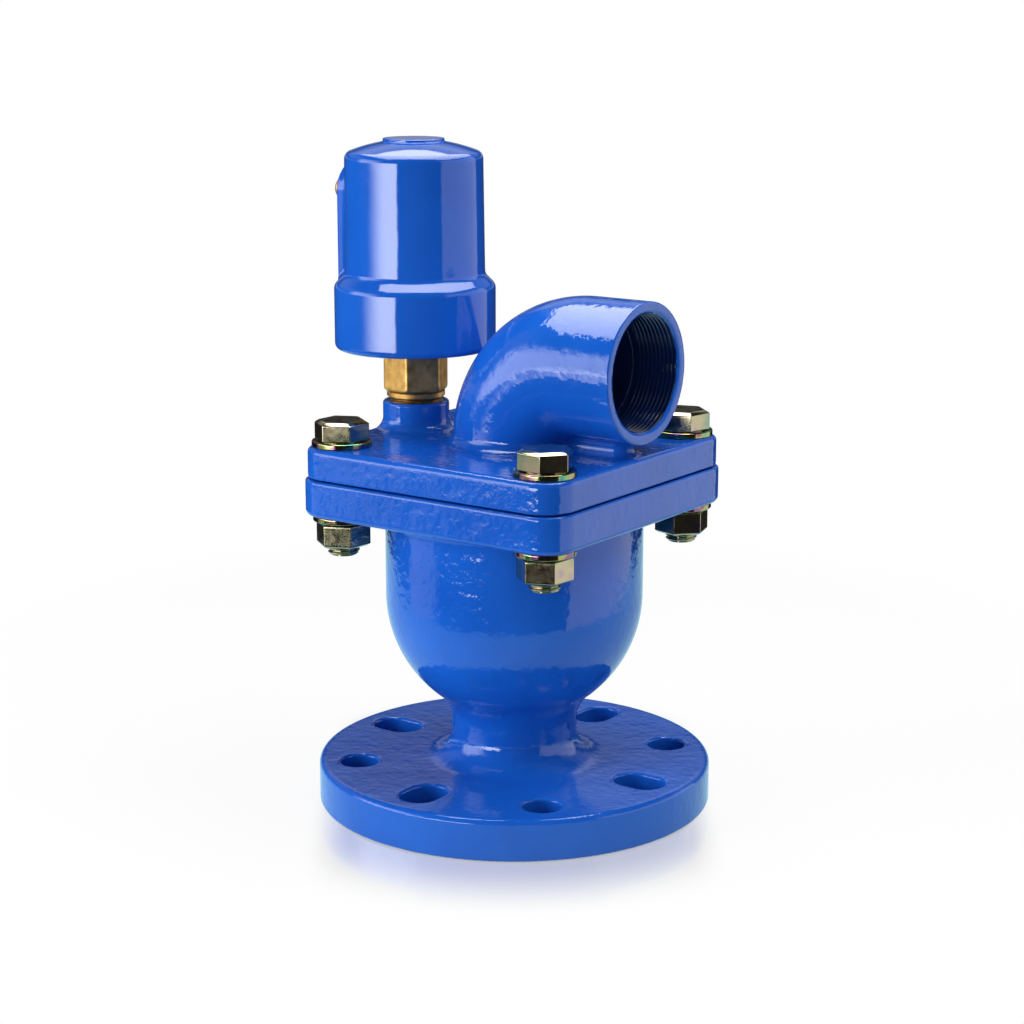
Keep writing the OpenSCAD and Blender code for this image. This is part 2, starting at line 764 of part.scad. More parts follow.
// Bell crank: one arm to the float's yoke, the other up to the seal pad
module seal_lever() color(steel) at_lever() {
    reach = pad_reach - arm_l * (cos(half_swing) - 1);
    difference() {
        union() {
            across(0, 0, hub_r, 2 * ear_in - 2 * rest_gap);
            rotate([0, -half_swing, 0]) {
                translate([0, -lever_w / 2, -arm_t / 2]) cube([arm_l, lever_w, arm_t]);
                across(arm_l, 0, eye_r, lever_w);
            }
            translate([-hub_r, -lever_w / 2, 0]) cube([post_t, lever_w, pad_arm + pad_r]);
            translate([pad_proud - reach, 0, pad_arm]) rotate([0, 90, 0])
                cylinder(r = pad_holder_r, h = reach - pad_proud);
        }
        across(0, 0, pin_r + fit, 4 * ear_in);
        rotate([0, -half_swing, 0]) across(arm_l, 0, pin_r + eye_play, 2 * lever_w);
        translate([-reach, 0, pad_arm]) rotate([0, 90, 0]) cylinder(r = pad_r + fit, h = pad_t);
    }
}

module seal_pad() color(black) at_lever() {
    reach = pad_reach - arm_l * (cos(half_swing) - 1);
    translate([-reach, 0, pad_arm]) rotate([0, 90, 0]) cylinder(r = pad_r, h = pad_t);
}

module lever_pin() color(steel) at_vent() translate([-arm_l * cos(half_swing), 0, pivot_z])
    across(0, 0, pin_r, 2 * (ear_in + ear_t + pin_proud));

// Bracket under the roof, with two ears for the lever's pivot
module lever_bracket() color(steel) at_vent() {
    pivot_x = -arm_l * cos(half_swing);
    ear_w = 2 * hub_r;
    difference() {
        union() {
            translate([pivot_x - hub_r, -ear_in - ear_t, bracket_low])
                cube([-pivot_x + hub_r + screw_places[1] + 2 * screw_r, 2 * ear_in + 2 * ear_t, bracket_t]);
            for (side = [-1, 1]) translate([pivot_x, side * (ear_in + ear_t / 2), 0]) {
                translate([-ear_w / 2, -ear_t / 2, pivot_z]) cube([ear_w, ear_t, bracket_low - pivot_z]);
                across(0, pivot_z, ear_w / 2, ear_t);
            }
        }
        translate([pivot_x, 0, pivot_z]) across(0, 0, pin_r + fit, 4 * ear_in + 2 * ear_t);
        for (x = screw_places) translate([x, 0, 0]) hole(bracket_low, bracket_t, screw_r + fit);
    }
}

module bracket_screws() color(steel) at_vent() for (x = screw_places) translate([x, 0, 0]) {
    translate([0, 0, bracket_low - screw_head_h]) cylinder(r = screw_head_r, h = screw_head_h);
    translate([0, 0, bracket_low]) cylinder(r = screw_r, h = bracket_t + screw_depth);
}

body();
cover();
joint_ring();
orifice_seat();
seat_seal();
float_basket();
main_float();
cover_bolts();
head_washers();
nut_washers();
cover_nuts();
vent_housing();
vent_base();
base_gasket();
vent_nozzle();
nozzle_ring();
vent_float();
float_yoke();
yoke_pin();
seal_lever();
seal_pad();
lever_pin();
lever_bracket();
bracket_screws();
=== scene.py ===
# %% [markdown]
# An air release valve lets air out of a water main while it fills, and back in while it drains.
# This one is three blue castings, a body, a cover and a small vent housing, held together by four
# plated bolts and a brass hexagon. The solids come packed in one frame, in metres, and this lesson
# dresses them: each visible piece is made again as a fine surface, and each hidden piece gets its
# material. Nothing is moved, so every size below is the frame's own or a real size in millimetres.

import bmesh
import bpy
import numpy as np
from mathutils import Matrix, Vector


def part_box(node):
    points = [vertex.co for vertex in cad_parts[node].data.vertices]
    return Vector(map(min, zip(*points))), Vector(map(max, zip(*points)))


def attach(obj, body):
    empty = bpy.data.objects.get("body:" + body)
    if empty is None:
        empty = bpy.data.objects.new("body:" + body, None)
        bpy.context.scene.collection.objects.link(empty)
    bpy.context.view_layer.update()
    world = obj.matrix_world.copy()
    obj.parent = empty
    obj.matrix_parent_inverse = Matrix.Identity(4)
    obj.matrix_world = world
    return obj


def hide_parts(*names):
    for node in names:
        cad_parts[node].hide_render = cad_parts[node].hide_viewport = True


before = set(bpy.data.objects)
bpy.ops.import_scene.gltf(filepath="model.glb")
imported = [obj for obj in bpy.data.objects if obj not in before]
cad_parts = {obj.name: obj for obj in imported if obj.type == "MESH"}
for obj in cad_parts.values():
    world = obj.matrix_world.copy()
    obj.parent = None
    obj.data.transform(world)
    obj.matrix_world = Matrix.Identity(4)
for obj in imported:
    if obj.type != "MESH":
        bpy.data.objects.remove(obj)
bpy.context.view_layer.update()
MM = 0.001


def node_box(node):
    """Lowest and highest corner of a solid, in millimetres."""
    return [np.array(corner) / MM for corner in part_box(node)]


# %% [markdown]
# The camera stands where the photographer stood. Its angles and lens were solved from sizes that are
# known on the valve, such as the round flange and the square plates. A long lens from just over a
# metre keeps the upright edges nearly parallel.

# %% Camera
SENSOR = 36.0
LENS = 81.47
CAMERA_AZIMUTH = np.radians(35.54)
CAMERA_HEIGHT = np.radians(13.13)
CAMERA_DISTANCE = 1166.05
AIM_HEIGHT = 147.85
AIM_SHIFT = -1.21


def heading(turn):
    """Level direction at this angle in degrees from the camera's, to the right if positive."""
    angle = CAMERA_AZIMUTH + np.radians(turn)
    return np.array([np.sin(angle), -np.cos(angle), 0.0])


def put(name, data):
    """A new object in the scene, at the origin."""
    thing = bpy.data.objects.new(name, data)
    bpy.context.scene.collection.objects.link(thing)
    return thing


to_front, to_right = heading(0), heading(90)
upward = np.array([0.0, 0.0, 1.0])
to_camera = to_front * np.cos(CAMERA_HEIGHT) + upward * np.sin(CAMERA_HEIGHT)
aim = upward * AIM_HEIGHT + to_right * AIM_SHIFT
lens = bpy.data.cameras.new("camera")
lens.sensor_width = SENSOR
lens.lens = LENS
camera = put("camera", lens)
camera.location = (aim + to_camera * CAMERA_DISTANCE) * MM
camera.rotation_euler = (np.pi / 2 - CAMERA_HEIGHT, 0.0, CAMERA_AZIMUTH)
bpy.context.scene.camera = camera
print("camera at", np.round(camera.location, 3))

# %% [markdown]
# Most finishes below need the same few steps, so a few small functions come first. One turns a colour
# as a painter would pick it, an sRGB hex value, into the linear numbers that a shader wants. Another
# adds one node with its settings and its links, and the last starts a material whose colour follows a
# noise. Patterns are sized in millimetres, because a noise of a real size looks right on every piece.

# %% Helpers for materials


def linear(hex_colour):
    """Linear RGBA of an sRGB hex colour: the low end is a straight line, the rest a power of 2.4."""
    srgb = np.array([int(hex_colour[i:i + 2], 16) for i in (1, 3, 5)]) / 255
    rgb = np.where(srgb <= 0.04045, srgb / 12.92, ((srgb + 0.055) / 1.055) ** 2.4)
    return (*rgb.tolist(), 1.0)


def grain(size):
    """Noise scale whose bumps are about this many millimetres apart."""
    return 1 / (size * MM)


def fill(tree, node, inputs):
    """Fills a node's inputs: a plain value is set, a socket is linked, and so is a node's first output."""
    for name, value in inputs.items():
        if isinstance(value, bpy.types.Node):
            value = value.outputs[0]
        if isinstance(value, bpy.types.NodeSocket):
            tree.links.new(value, node.inputs[name])
        else:
            node.inputs[name].default_value = value


def add(tree, kind, inputs=None, stops=None, **settings):
    """Adds one node: settings are its properties, stops a colour ramp's places and hex colours."""
    node = tree.nodes.new("ShaderNode" + kind)
    for name, value in settings.items():
        setattr(node, name, value)
    fill(tree, node, inputs or {})
    for place, colour in stops or []:
        node.color_ramp.elements.new(place).color = linear(colour)
    if stops:
        node.color_ramp.elements.remove(node.color_ramp.elements[0])
        node.color_ramp.elements.remove(node.color_ramp.elements[-1])
    return node


def new_material(name):
    """A node material: itself, its nodes, its Principled shader and the Object coordinates."""
    material = bpy.data.materials.new(name)
    material.use_nodes = True
    tree = material.node_tree
    place = add(tree, "TexCoord").outputs["Object"]
    return material, tree, tree.nodes["Principled BSDF"], place


def ranged(value, limits, ends):
    """Inputs of a map range that goes from one end to the other between two limits."""
    return {"Value": value, "From Min": limits[0], "From Max": limits[1],
            "To Min": ends[0], "To Max": ends[1]}


def mottled(name, stops, size, detail):
    """A material whose colour runs through the stops with a noise of this size in mm, and its parts."""
    material, tree, shader, place = new_material(name)
    noise = add(tree, "TexNoise", {"Vector": place, "Scale": grain(size), "Detail": detail})
    tint = add(tree, "ValToRGB", {"Fac": noise}, stops=stops)
    fill(tree, shader, {"Base Color": tint})
    return material, tree, shader, place, noise


print("middle grey in linear light:", np.round(linear("#808080"), 3))

# %% [markdown]
# The castings are ductile iron under fusion-bonded epoxy: the hot part is dipped in powder, which
# melts to a thick, glossy skin. The eye knows it by its deep blue, by sharp reflections, and by the
# way these wander, because the skin keeps the waves of the sand mould and an orange peel of its own.
# So the colour hardly varies, and two noises bend the surface: broad waves and fine peel. The large
# castings come from coarse sand, and the small vent housing from a smooth mould, so there are two. A
# third, in much darker tints, is painted shade: it covers the bore and its thread, where the shadow is
# deep.

# %% Epoxy coating
COATING = ("#104EAF", "#1658BC")
# Dark tints of the third coating: painted shade for the inside of the bore.
THIN_COATING = ("#040F2A", "#0A2050")
CLOUD_SIZE = 45.0
WAVE_SIZE = 15.0
# Real peel is about 2 mm wide. It is drawn coarser, so that it shows.
PEEL_SIZE = 4.0


def epoxy_coating(name, dark, pale, wave, peel):
    """Glossy powder epoxy over cast iron in two tints; wave and peel are both noises' heights in mm."""
    stops = [(0.3, dark), (0.7, pale)]
    material, tree, shader, place, _ = mottled(name, stops, CLOUD_SIZE, detail=2.0)
    waves = add(tree, "TexNoise", {"Vector": place, "Scale": grain(WAVE_SIZE), "Detail": 2.0})
    skin = add(tree, "TexNoise", {"Vector": place, "Scale": grain(PEEL_SIZE), "Detail": 2.5})
    wavy = add(tree, "Bump", {"Distance": wave * MM, "Height": waves})
    peeled = add(tree, "Bump", {"Distance": peel * MM, "Height": skin, "Normal": wavy})
    fill(tree, shader, {"Normal": peeled, "Roughness": 0.08, "IOR": 1.52})
    return material


rough_coating = epoxy_coating("blue_epoxy_on_coarse_casting", *COATING, wave=0.34, peel=0.19)
smooth_coating = epoxy_coating("blue_epoxy_on_smooth_casting", *COATING, wave=0.14, peel=0.015)
# The bore's coating is painted shade: its darker tints stand in for the shadow inside.
bore_coating = epoxy_coating("epoxy_darkened_for_bore_shade", *THIN_COATING, wave=0.1, peel=0.02)
print("made", rough_coating.name, "and", smooth_coating.name, "and", bore_coating.name)

# %% [markdown]
# Bolts, nuts and washers are steel, plated with zinc and dipped in a yellow chromate. The film is so
# thin that it shows colours like oil on water: olive and gold on the flats, green and pink where it is
# thicker. A noise steps through those colours. Washers lie flat in the bath and keep a thicker film,
# so theirs runs through more hues.

# %% Plated steel
FILM = [(0.28, "#84998A"), (0.4, "#A19F80"), (0.5, "#ACA688"), (0.6, "#AFA287"), (0.72, "#9C929A")]
THICK_FILM = [(0.26, "#3F7F78"), (0.4, "#6FA078"), (0.5, "#A39C5E"), (0.6, "#8A5F78"), (0.74, "#46718A")]
SCUFF_SIZE = 3.5
DENT = 0.015


def plated_steel(name, film, film_size):
    """Steel with zinc plate and a yellow chromate film whose hues change over film_size mm."""
    material, tree, shader, place, _ = mottled(name, film, film_size, detail=2.5)
    scuffs = add(tree, "TexNoise", {"Vector": place, "Scale": grain(SCUFF_SIZE), "Detail": 2.0})
    dull = add(tree, "MapRange", ranged(scuffs, (0.3, 0.7), (0.1, 0.17)))
    dents = add(tree, "Bump", {"Distance": DENT * MM, "Height": scuffs})
    fill(tree, shader, {"Normal": dents, "Roughness": dull, "Metallic": 1.0})
    return material


zinc = plated_steel("yellow_passivated_zinc", FILM, film_size=12.0)
washer_zinc = plated_steel("iridescent_passivated_zinc", THICK_FILM, film_size=6.0)
print("made", zinc.name, "and", washer_zinc.name)

# %% [markdown]
# The hexagon and the nozzle are brass bar, turned and left bare. Handling has browned it in clouds, so
# one broad noise mixes fresh gold with brown, and a fine one roughens it.

# %% Brass
TARNISH = [(0.32, "#B58B4B"), (0.68, "#E0B66C")]
TARNISH_SIZE = 5.0
PIT_SIZE = 1.0
PIT = 0.03


def turned_brass():
    """Bare brass bar, turned and then browned by handling."""
    material, tree, shader, place, cloud = mottled("turned_brass", TARNISH, TARNISH_SIZE, detail=4.0)
    speck = add(tree, "TexNoise", {"Vector": place, "Scale": grain(PIT_SIZE), "Detail": 2.0})
    dull = add(tree, "MapRange", ranged(cloud, (0.3, 0.7), (0.52, 0.42)))
    pits = add(tree, "Bump", {"Distance": PIT * MM, "Height": speck})
    fill(tree, shader, {"Normal": pits, "Roughness": dull, "Metallic": 1.0})
    return material


brass = turned_brass()
print("made", brass.name)

# %% [markdown]
# Inside the castings sit a bronze seat, steel fittings, rubber seals and plastic floats. Nobody sees
# them in the photograph, but the model can be opened, so each gets its own finish. They share one
# recipe, two colours in a noise and a fine bump, with values for each material.

# %% Materials of the hidden pieces


def inner_material(name, dark, pale, size, roughness, metallic, bump):
    """Two colours mixed by a noise of the given size in mm, with a bump of the given height in mm."""
    stops = [(0.35, dark), (0.65, pale)]
    material, tree, shader, _, noise = mottled(name, stops, size, detail=3.0)
    relief = add(tree, "Bump", {"Distance": bump * MM, "Height": noise})
    fill(tree, shader, {"Normal": relief, "Roughness": roughness, "Metallic": metallic})
    return material


# Two colours, then the noise's size in mm, roughness, metallic and the bump's height in mm.
bronze = inner_material("machined_bronze", "#9A6A3C", "#B98850", 3.0, 0.32, 1.0, 0.01)
stainless = inner_material("pickled_stainless_steel", "#A9ACAF", "#C3C6C8", 1.5, 0.36, 1.0, 0.01)
rubber = inner_material("moulded_epdm_rubber", "#17181A", "#222427", 1.2, 0.62, 0.0, 0.02)
plastic = inner_material("moulded_polypropylene", "#DAD7CC", "#E6E3DA", 8.0, 0.42, 0.0, 0.03)

INNER_FINISH = {
    bronze: ["orifice_seat"],
    stainless: ["float_basket", "float_yoke", "yoke_pin", "seal_lever", "lever_pin", "lever_bracket",
                "bracket_screws"],
    rubber: ["joint_ring", "seat_seal", "base_gasket", "nozzle_ring", "seal_pad"],
    plastic: ["main_float", "vent_float"],
}
for finish, nodes in INNER_FINISH.items():
    for node in nodes:
        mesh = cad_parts[node].data
        mesh.materials.clear()
        mesh.materials.append(finish)
print("finished inside:", sum(len(nodes) for nodes in INNER_FINISH.values()), "solids")

# %% [markdown]
# Every new piece ends the same way: an array of points and an array of quads become a mesh at the
# origin, which rides on the valve's body, stands for a solid and takes its material. Points that fall
# on one another, at a seam or a pole, are merged so that the surface is closed.

# %% From arrays to a piece
SEAM = 0.002


def weld(mesh):
    """Merges points that lie on one another and turns all faces outwards."""
    work = bmesh.new()
    work.from_mesh(mesh)
    bmesh.ops.remove_doubles(work, verts=work.verts, dist=SEAM * MM)
    bmesh.ops.recalc_face_normals(work, faces=work.faces)
    work.to_mesh(mesh)
    work.free()


def finish_piece(name, points, quads, material, slot, replaced, normals=None, lining=None):
    """Makes one piece from points in mm and quads; normals, where given, set the shading exactly.

    The last argument is a second material and its quads: dark coating that paints shade in a bore."""
    mesh = bpy.data.meshes.new(name)
    mesh.from_pydata((points * MM).tolist(), [], quads.tolist())
    mesh.polygons.foreach_set("use_smooth", np.ones(len(quads), dtype=bool))
    mesh.materials.append(material)
    if lining:
        mesh.materials.append(lining[0])
        mesh.polygons.foreach_set("material_index", lining[1].astype(np.int32))
    piece = put(name, mesh)
    if normals is None:
        weld(mesh)
    else:
        mesh.normals_split_custom_set_from_vertices(normals.tolist())
    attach(piece, "valve")
    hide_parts(*replaced)
    triangles = sum(len(face.vertices) - 2 for face in mesh.polygons)
    print(name, len(mesh.vertices), "points", triangles, "triangles")


print("pieces merge points closer than", SEAM, "mm")

# %% [markdown]
# A sand casting has no sharp inner corner: iron shrinks and cracks there, so the pattern maker fills
# each one with a fillet. A grid of two parameters can't run from a square plate over a fillet into a
# pipe bend, so the castings are made another way. Each is a distance field, a function that says how
# far a point lies from the surface, negative inside. Two fields join with a fillet, or meet with a
# rounded edge, and what is cut away is the same thing turned inside out.

# %% Joining distance fields


def join(a, b, fillet):
    """Union of two fields: where both are nearer than the fillet, the corner is filled to an arc."""
    corner = np.hypot(np.maximum(fillet - a, 0), np.maximum(fillet - b, 0))
    return np.maximum(np.minimum(a, b), fillet) - corner


def meet(a, b, edge):
    """Overlap of two fields: where both are within the edge, the outer corner is turned to an arc."""
    corner = np.hypot(np.maximum(edge + a, 0), np.maximum(edge + b, 0))
    return np.minimum(np.maximum(a, b), -edge) + corner


def cut(a, b, edge):
    """The first field without the second, with the rim of the cut rounded."""
    return meet(a, -b, edge)


def slab(value, low, high):
    """Distance out of the layer between two limits."""
    return np.maximum(low - value, value - high)


filled = -join(np.array(0.5), np.array(0.5), 3.0)
print("a fillet of 3 fills", round(float(filled), 2), "mm at 0.5 mm from both")

# %% [markdown]
# A field becomes a mesh on a grid of small cells. Each cell that the surface crosses gets one point,
# the mean of the places where its edges cross. Each grid edge that crosses gets one quad, through the
# four cells around it. At last the points slide along the field's slope until they lie on the surface,
# and the slope itself gives exact normals for the shading. The grid is finer near the edges.

# %% Meshing a distance field
SLOPE_STEP = 0.02
LEAST_SLOPE = 0.2
SLIDES = 4
MARGIN = 2.0
SAMPLES = 4000


def graded(low, high, step, fine=None, marks=(0.0,), reach=1.0):
    """Grid lines to a margin past two limits: step apart, and fine apart within reach of each mark."""
    line = np.linspace(low - MARGIN, high + MARGIN, SAMPLES)
    near = np.exp(-((line[:, None] - np.array(marks)[None, :]) / reach) ** 2).max(axis=1)
    density = 1 / step + (1 / (fine or step) - 1 / step) * near
    count = np.concatenate([[0.0], np.cumsum((density[1:] + density[:-1]) / 2 * np.diff(line))])
    return np.interp(np.linspace(0, count[-1], int(np.ceil(count[-1])) + 1), count, line)


def slope(field, points):
    """Gradient of a field at each point, by central differences."""
    shifts = np.eye(3) * SLOPE_STEP
    sides = [field(*(points + s).T) - field(*(points - s).T) for s in shifts]
    return np.stack(sides, axis=1) / (2 * SLOPE_STEP)


def surface_of(field, axes):
    """Points, quads and normals of a field's zero surface on a grid with these lines."""
    values = field(*np.meshgrid(*axes, indexing="ij"))
    cells = np.array(values.shape) - 1
    owners, places, quads = [], [], []
    for d in range(3):
        u, v = (d + 1) % 3, (d + 2) % 3
        first = np.moveaxis(values, d, 0)[:-1]
        last = np.moveaxis(values, d, 0)[1:]
        found = np.argwhere((first < 0) != (last < 0))
        a, b = first[tuple(found.T)], last[tuple(found.T)]
        index = np.empty_like(found)
        index[:, [d] + [axis for axis in range(3) if axis != d]] = found
        share = a / (a - b)
        place = np.stack([axes[axis][index[:, axis]] for axis in range(3)], axis=1)
        place[:, d] += share * (axes[d][index[:, d] + 1] - axes[d][index[:, d]])
        ring = []
        for du, dv in [(-1, -1), (0, -1), (0, 0), (-1, 0)]:
            cell = index.copy()
            cell[:, u] += du
            cell[:, v] += dv
            ring.append(np.ravel_multi_index(cell.T, cells))
            owners.append(ring[-1])
            places.append(place)
        ring = np.stack(ring, axis=1)
        quads.append(np.where((a < 0)[:, None], ring, ring[:, ::-1]))
    owners, places, quads = np.concatenate(owners), np.concatenate(places), np.concatenate(quads)
    used, owners = np.unique(owners, return_inverse=True)
    shares = np.bincount(owners)
    points = np.stack([np.bincount(owners, weights=places[:, axis]) / shares for axis in range(3)], axis=1)
    quads = np.searchsorted(used, quads)
    for _ in range(SLIDES):
        lean = slope(field, points)
        steep = np.maximum((lean ** 2).sum(axis=1), LEAST_SLOPE)
        points -= lean * (field(*points.T) / steep)[:, None]
    normals = slope(field, points)
    return points, quads, normals / np.linalg.norm(normals, axis=1)[:, None]


print("meshing by cells is ready")

# %% [markdown]
# Two shapes come back in more than one casting: the square plate with rounded corners, which the body
# and the cover share along their joint, and the ring of four bolt holes through both.

# %% Plates and bolt holes
CORNER_R = 16.0
PLATE_EDGE = 3.0
SEAM_EDGE = 1.3
# The cover's plate starts this far over the joint, which leaves the dark line of the seam.
SEAM_GAP = 0.6
BOLT_R = 8.0
BOLT_HOLE_R = 8.75
BOLT_HOLE_EDGE = 0.5

bolts_low, bolts_high = node_box("cover_bolts")
washer_low, washer_high = node_box("head_washers")
WASHER_R = 15.0
bolt_place = washer_high[0] - WASHER_R


def plate(x, y, z, half, low, high, low_edge, high_edge):
    """Square plate: a rounded square outline, met from below and above with its own edge roundings."""
    across = np.abs(x) - (half - CORNER_R)
    along = np.abs(y) - (half - CORNER_R)
    outline = np.hypot(np.maximum(across, 0), np.maximum(along, 0))
    outline = outline + np.minimum(np.maximum(across, along), 0) - CORNER_R
    return meet(meet(outline, low - z, low_edge), z - high, high_edge)


def bolt_holes(x, y):
    """Four upright holes, one in each quarter."""
    return np.hypot(np.abs(x) - bolt_place, np.abs(y) - bolt_place) - BOLT_HOLE_R


print("bolts stand", round(float(bolt_place), 2), "mm from both middle planes")

# %% [markdown]
# The body is one casting from floor to joint: a round flange for the pipe, a neck, a bowl for the
# float, and a square flange for the cover. Round forms need only the distance from the axis, so most
# of it is short. The slots let the flange fit two bolt circles, and lie between the round holes.

# %% Body
body_high = node_box("body")[1]
FLANGE_R = body_high[0]
FLANGE_T = 21.0
FLANGE_EDGE = 2.8
FACE_EDGE = 1.0
INLET_R = 25.0
NECK_R = 32.0
NECK_FILLET = 14.0
BOWL_R = 65.0
BOWL_WALL = 7.0
BOWL_Z = 107.0
BOWL_FILLET = 8.0
MOUTH_R = 60.8
MOUTH_DEPTH = 4.0
FLANGE_HOLE_R = 9.5
SLOT_FROM = 72.5
SLOT_TO = 80.0
HOLE_EDGE = 1.5
PLATE_FILLET = 5.95
# The plate reaches this far past the middles of its bolts.
BODY_RIM = 17.75
# The bowl's wall ends BOWL_STOP below the joint, forms reach LAP into each other, and a cut starts PAST
# the face that it opens.
BOWL_STOP = 2.0
LAP = 1.0
PAST = 5.0
BODY_CELL = 1.75
body_half = bolt_place + BODY_RIM
joint_z = body_high[2]
nut_washer_low, nut_washer_high = node_box("nut_washers")
plate_low = nut_washer_high[2]


def flange_holes(x, y):
    """Four slots along the axes and four round holes between them."""
    far = np.maximum(np.abs(x), np.abs(y))
    near = np.minimum(np.abs(x), np.abs(y))
    slots = np.hypot(np.maximum(slab(far, SLOT_FROM, SLOT_TO), 0), near) - FLANGE_HOLE_R
    round_place = SLOT_TO / np.sqrt(2)
    rounds = np.hypot(far - round_place, near - round_place) - FLANGE_HOLE_R
    return np.minimum(slots, rounds)


def body_field(x, y, z):
    """Flange, neck and bowl joined by fillets, with the square flange on top and the inside cut out."""
    out = np.hypot(x, y)
    flange = meet(meet(out - FLANGE_R, z - FLANGE_T, FLANGE_EDGE), -z, FACE_EDGE)
    neck = np.maximum(out - NECK_R, slab(z, FLANGE_T - LAP, BOWL_Z))
    bowl = np.maximum(np.hypot(out, np.minimum(z - BOWL_Z, 0)) - BOWL_R, z - joint_z + BOWL_STOP)
    square = plate(x, y, z, body_half, plate_low, joint_z, PLATE_EDGE, SEAM_EDGE)
    iron = join(join(flange, neck, NECK_FILLET), bowl, BOWL_FILLET)
    iron = join(iron, square, PLATE_FILLET)
    inlet = np.maximum(out - INLET_R, z - BOWL_Z)
    chamber = np.hypot(out, np.minimum(z - BOWL_Z, 0)) - (BOWL_R - BOWL_WALL)
    mouth = np.maximum(out - MOUTH_R, joint_z - MOUTH_DEPTH - z)
    iron = cut(iron, np.minimum(np.minimum(inlet, chamber), mouth), FACE_EDGE)
    iron = cut(iron, np.maximum(flange_holes(x, y), z - FLANGE_T - PAST), HOLE_EDGE)
    return cut(iron, np.maximum(bolt_holes(x, y), plate_low - PAST - z), BOLT_HOLE_EDGE)


side = graded(-FLANGE_R, FLANGE_R, BODY_CELL)
edge_levels = [0.5, FLANGE_T - 1, plate_low + 1, joint_z - 0.5]
height = graded(0.0, joint_z, BODY_CELL, fine=0.7, marks=edge_levels, reach=2.2)
points, quads, normals = surface_of(body_field, [side, side, height])
finish_piece("body_casting", points, quads, rough_coating, "epoxy_coating", ["body"], normals)

# %% [markdown]
# The cover is the casting that takes the most skill. An elbow rises from the plate and turns to the
# outlet, a web under it ties the outlet to the plate, and a boss carries the vent valve. Both the
# elbow and its bore follow a centre line: straight up, a quarter circle, then straight out.

# %% Cover
cover_high = node_box("cover")[1]
OUTLET_X = cover_high[0]
ELBOW_R = 34.5
OUTLET_Z = cover_high[2] - ELBOW_R
COVER_RIM = 16.75
cover_half = bolt_place + COVER_RIM
cover_top = washer_low[2]
BEND_X = 45.6
BEND_R = OUTLET_Z - cover_top
ELBOW_BORE = 25.0
ELBOW_FILLET = 6.0
THREAD_R = 28.33
THREAD_ROOT_R = 29.8
THREAD_LENGTH = 24.0
SOCKET_GAP = 0.3
SOCKET_R = THREAD_ROOT_R + SOCKET_GAP
MOUTH_EDGE = 0.9
MOUTH_LIP = 1.6
MOUTH_HOLE_R = THREAD_R + SOCKET_GAP
WEB_T = 13.0
WEB_BACK = 8.5
WEB_NOSE = OUTLET_X - WEB_BACK - WEB_T / 2
WEB_FILLET = 5.0
VENT_X = 62.0
BOSS_R = 17.0
BOSS_H = 14.0
BOSS_TOP = cover_top + BOSS_H
# The cover's grid leaves this room for the boss, which stands out past the plate.
BOSS_ROOM = 2.0
BOSS_FILLET = 5.5
BOSS_EDGE = 1.5
PORT_R = 13.22
PORT_DEPTH = 20.0
SEAT_R = 46.05
SEAT_T = 8.0
BURIED = 4.0
BORE_EDGE = 0.6
COVER_CELL = 1.25


def along_bend(x, y, z, bend_r):
    """Distance to a centre line that runs up, turns on a quarter circle of bend_r and runs out."""
    turn_z = OUTLET_Z - bend_r
    turned = np.abs(np.hypot(x - BEND_X, z - turn_z) - bend_r)
    straight = np.where(x >= BEND_X, np.abs(z - OUTLET_Z), np.abs(x - (BEND_X - bend_r)))
    return np.hypot(np.where((x < BEND_X) & (z > turn_z), turned, straight), y)


def air_way(x, y, z):
    """The air's way through the cover: seat, bore along the bend, socket of the thread and lip."""
    bore = along_bend(x, y, z, BEND_X) - ELBOW_BORE
    from_outlet = np.hypot(y, z - OUTLET_Z)
    socket = np.maximum(from_outlet - SOCKET_R, slab(x, OUTLET_X - THREAD_LENGTH, OUTLET_X - MOUTH_LIP))
    flare = (from_outlet - MOUTH_HOLE_R - (x - OUTLET_X + MOUTH_LIP)) / np.sqrt(2)
    lip = np.minimum(from_outlet - MOUTH_HOLE_R, flare)
    lip = np.maximum(lip, OUTLET_X - 2 * MOUTH_LIP - x)
    seat = np.maximum(np.hypot(x, y) - SEAT_R, z - joint_z - SEAT_T)
    return np.minimum(np.minimum(bore, socket), np.minimum(lip, seat))


def cover_field(x, y, z):
    """Plate, elbow, web and boss joined by fillets, with the air's way and the holes cut out."""
    iron = plate(x, y, z, cover_half, joint_z + SEAM_GAP, cover_top, SEAM_EDGE, PLATE_EDGE)
    elbow = meet(along_bend(x, y, z, BEND_R) - ELBOW_R, x - OUTLET_X, MOUTH_EDGE)
    elbow = np.maximum(elbow, cover_top - BURIED - z)
    web = np.hypot(np.maximum(x - WEB_NOSE, 0), y) - WEB_T / 2
    web = np.maximum(web, BEND_X - BEND_R - x)
    web = np.maximum(web, slab(z, cover_top - BURIED, OUTLET_Z - ELBOW_BORE - BURIED))
    from_vent = np.hypot(x + VENT_X, y)
    boss = meet(from_vent - BOSS_R, z - BOSS_TOP, BOSS_EDGE)
    boss = np.maximum(boss, joint_z + PLATE_EDGE - z)
    iron = join(iron, elbow, ELBOW_FILLET)
    iron = join(iron, web, WEB_FILLET)
    iron = join(iron, boss, BOSS_FILLET)
    iron = np.maximum(iron, joint_z - z)
    iron = cut(iron, air_way(x, y, z), BORE_EDGE)
    iron = cut(iron, np.maximum(from_vent - PORT_R, BOSS_TOP - PORT_DEPTH - z), BORE_EDGE)
    return cut(iron, np.maximum(bolt_holes(x, y), z - cover_top - PAST), BOLT_HOLE_EDGE)


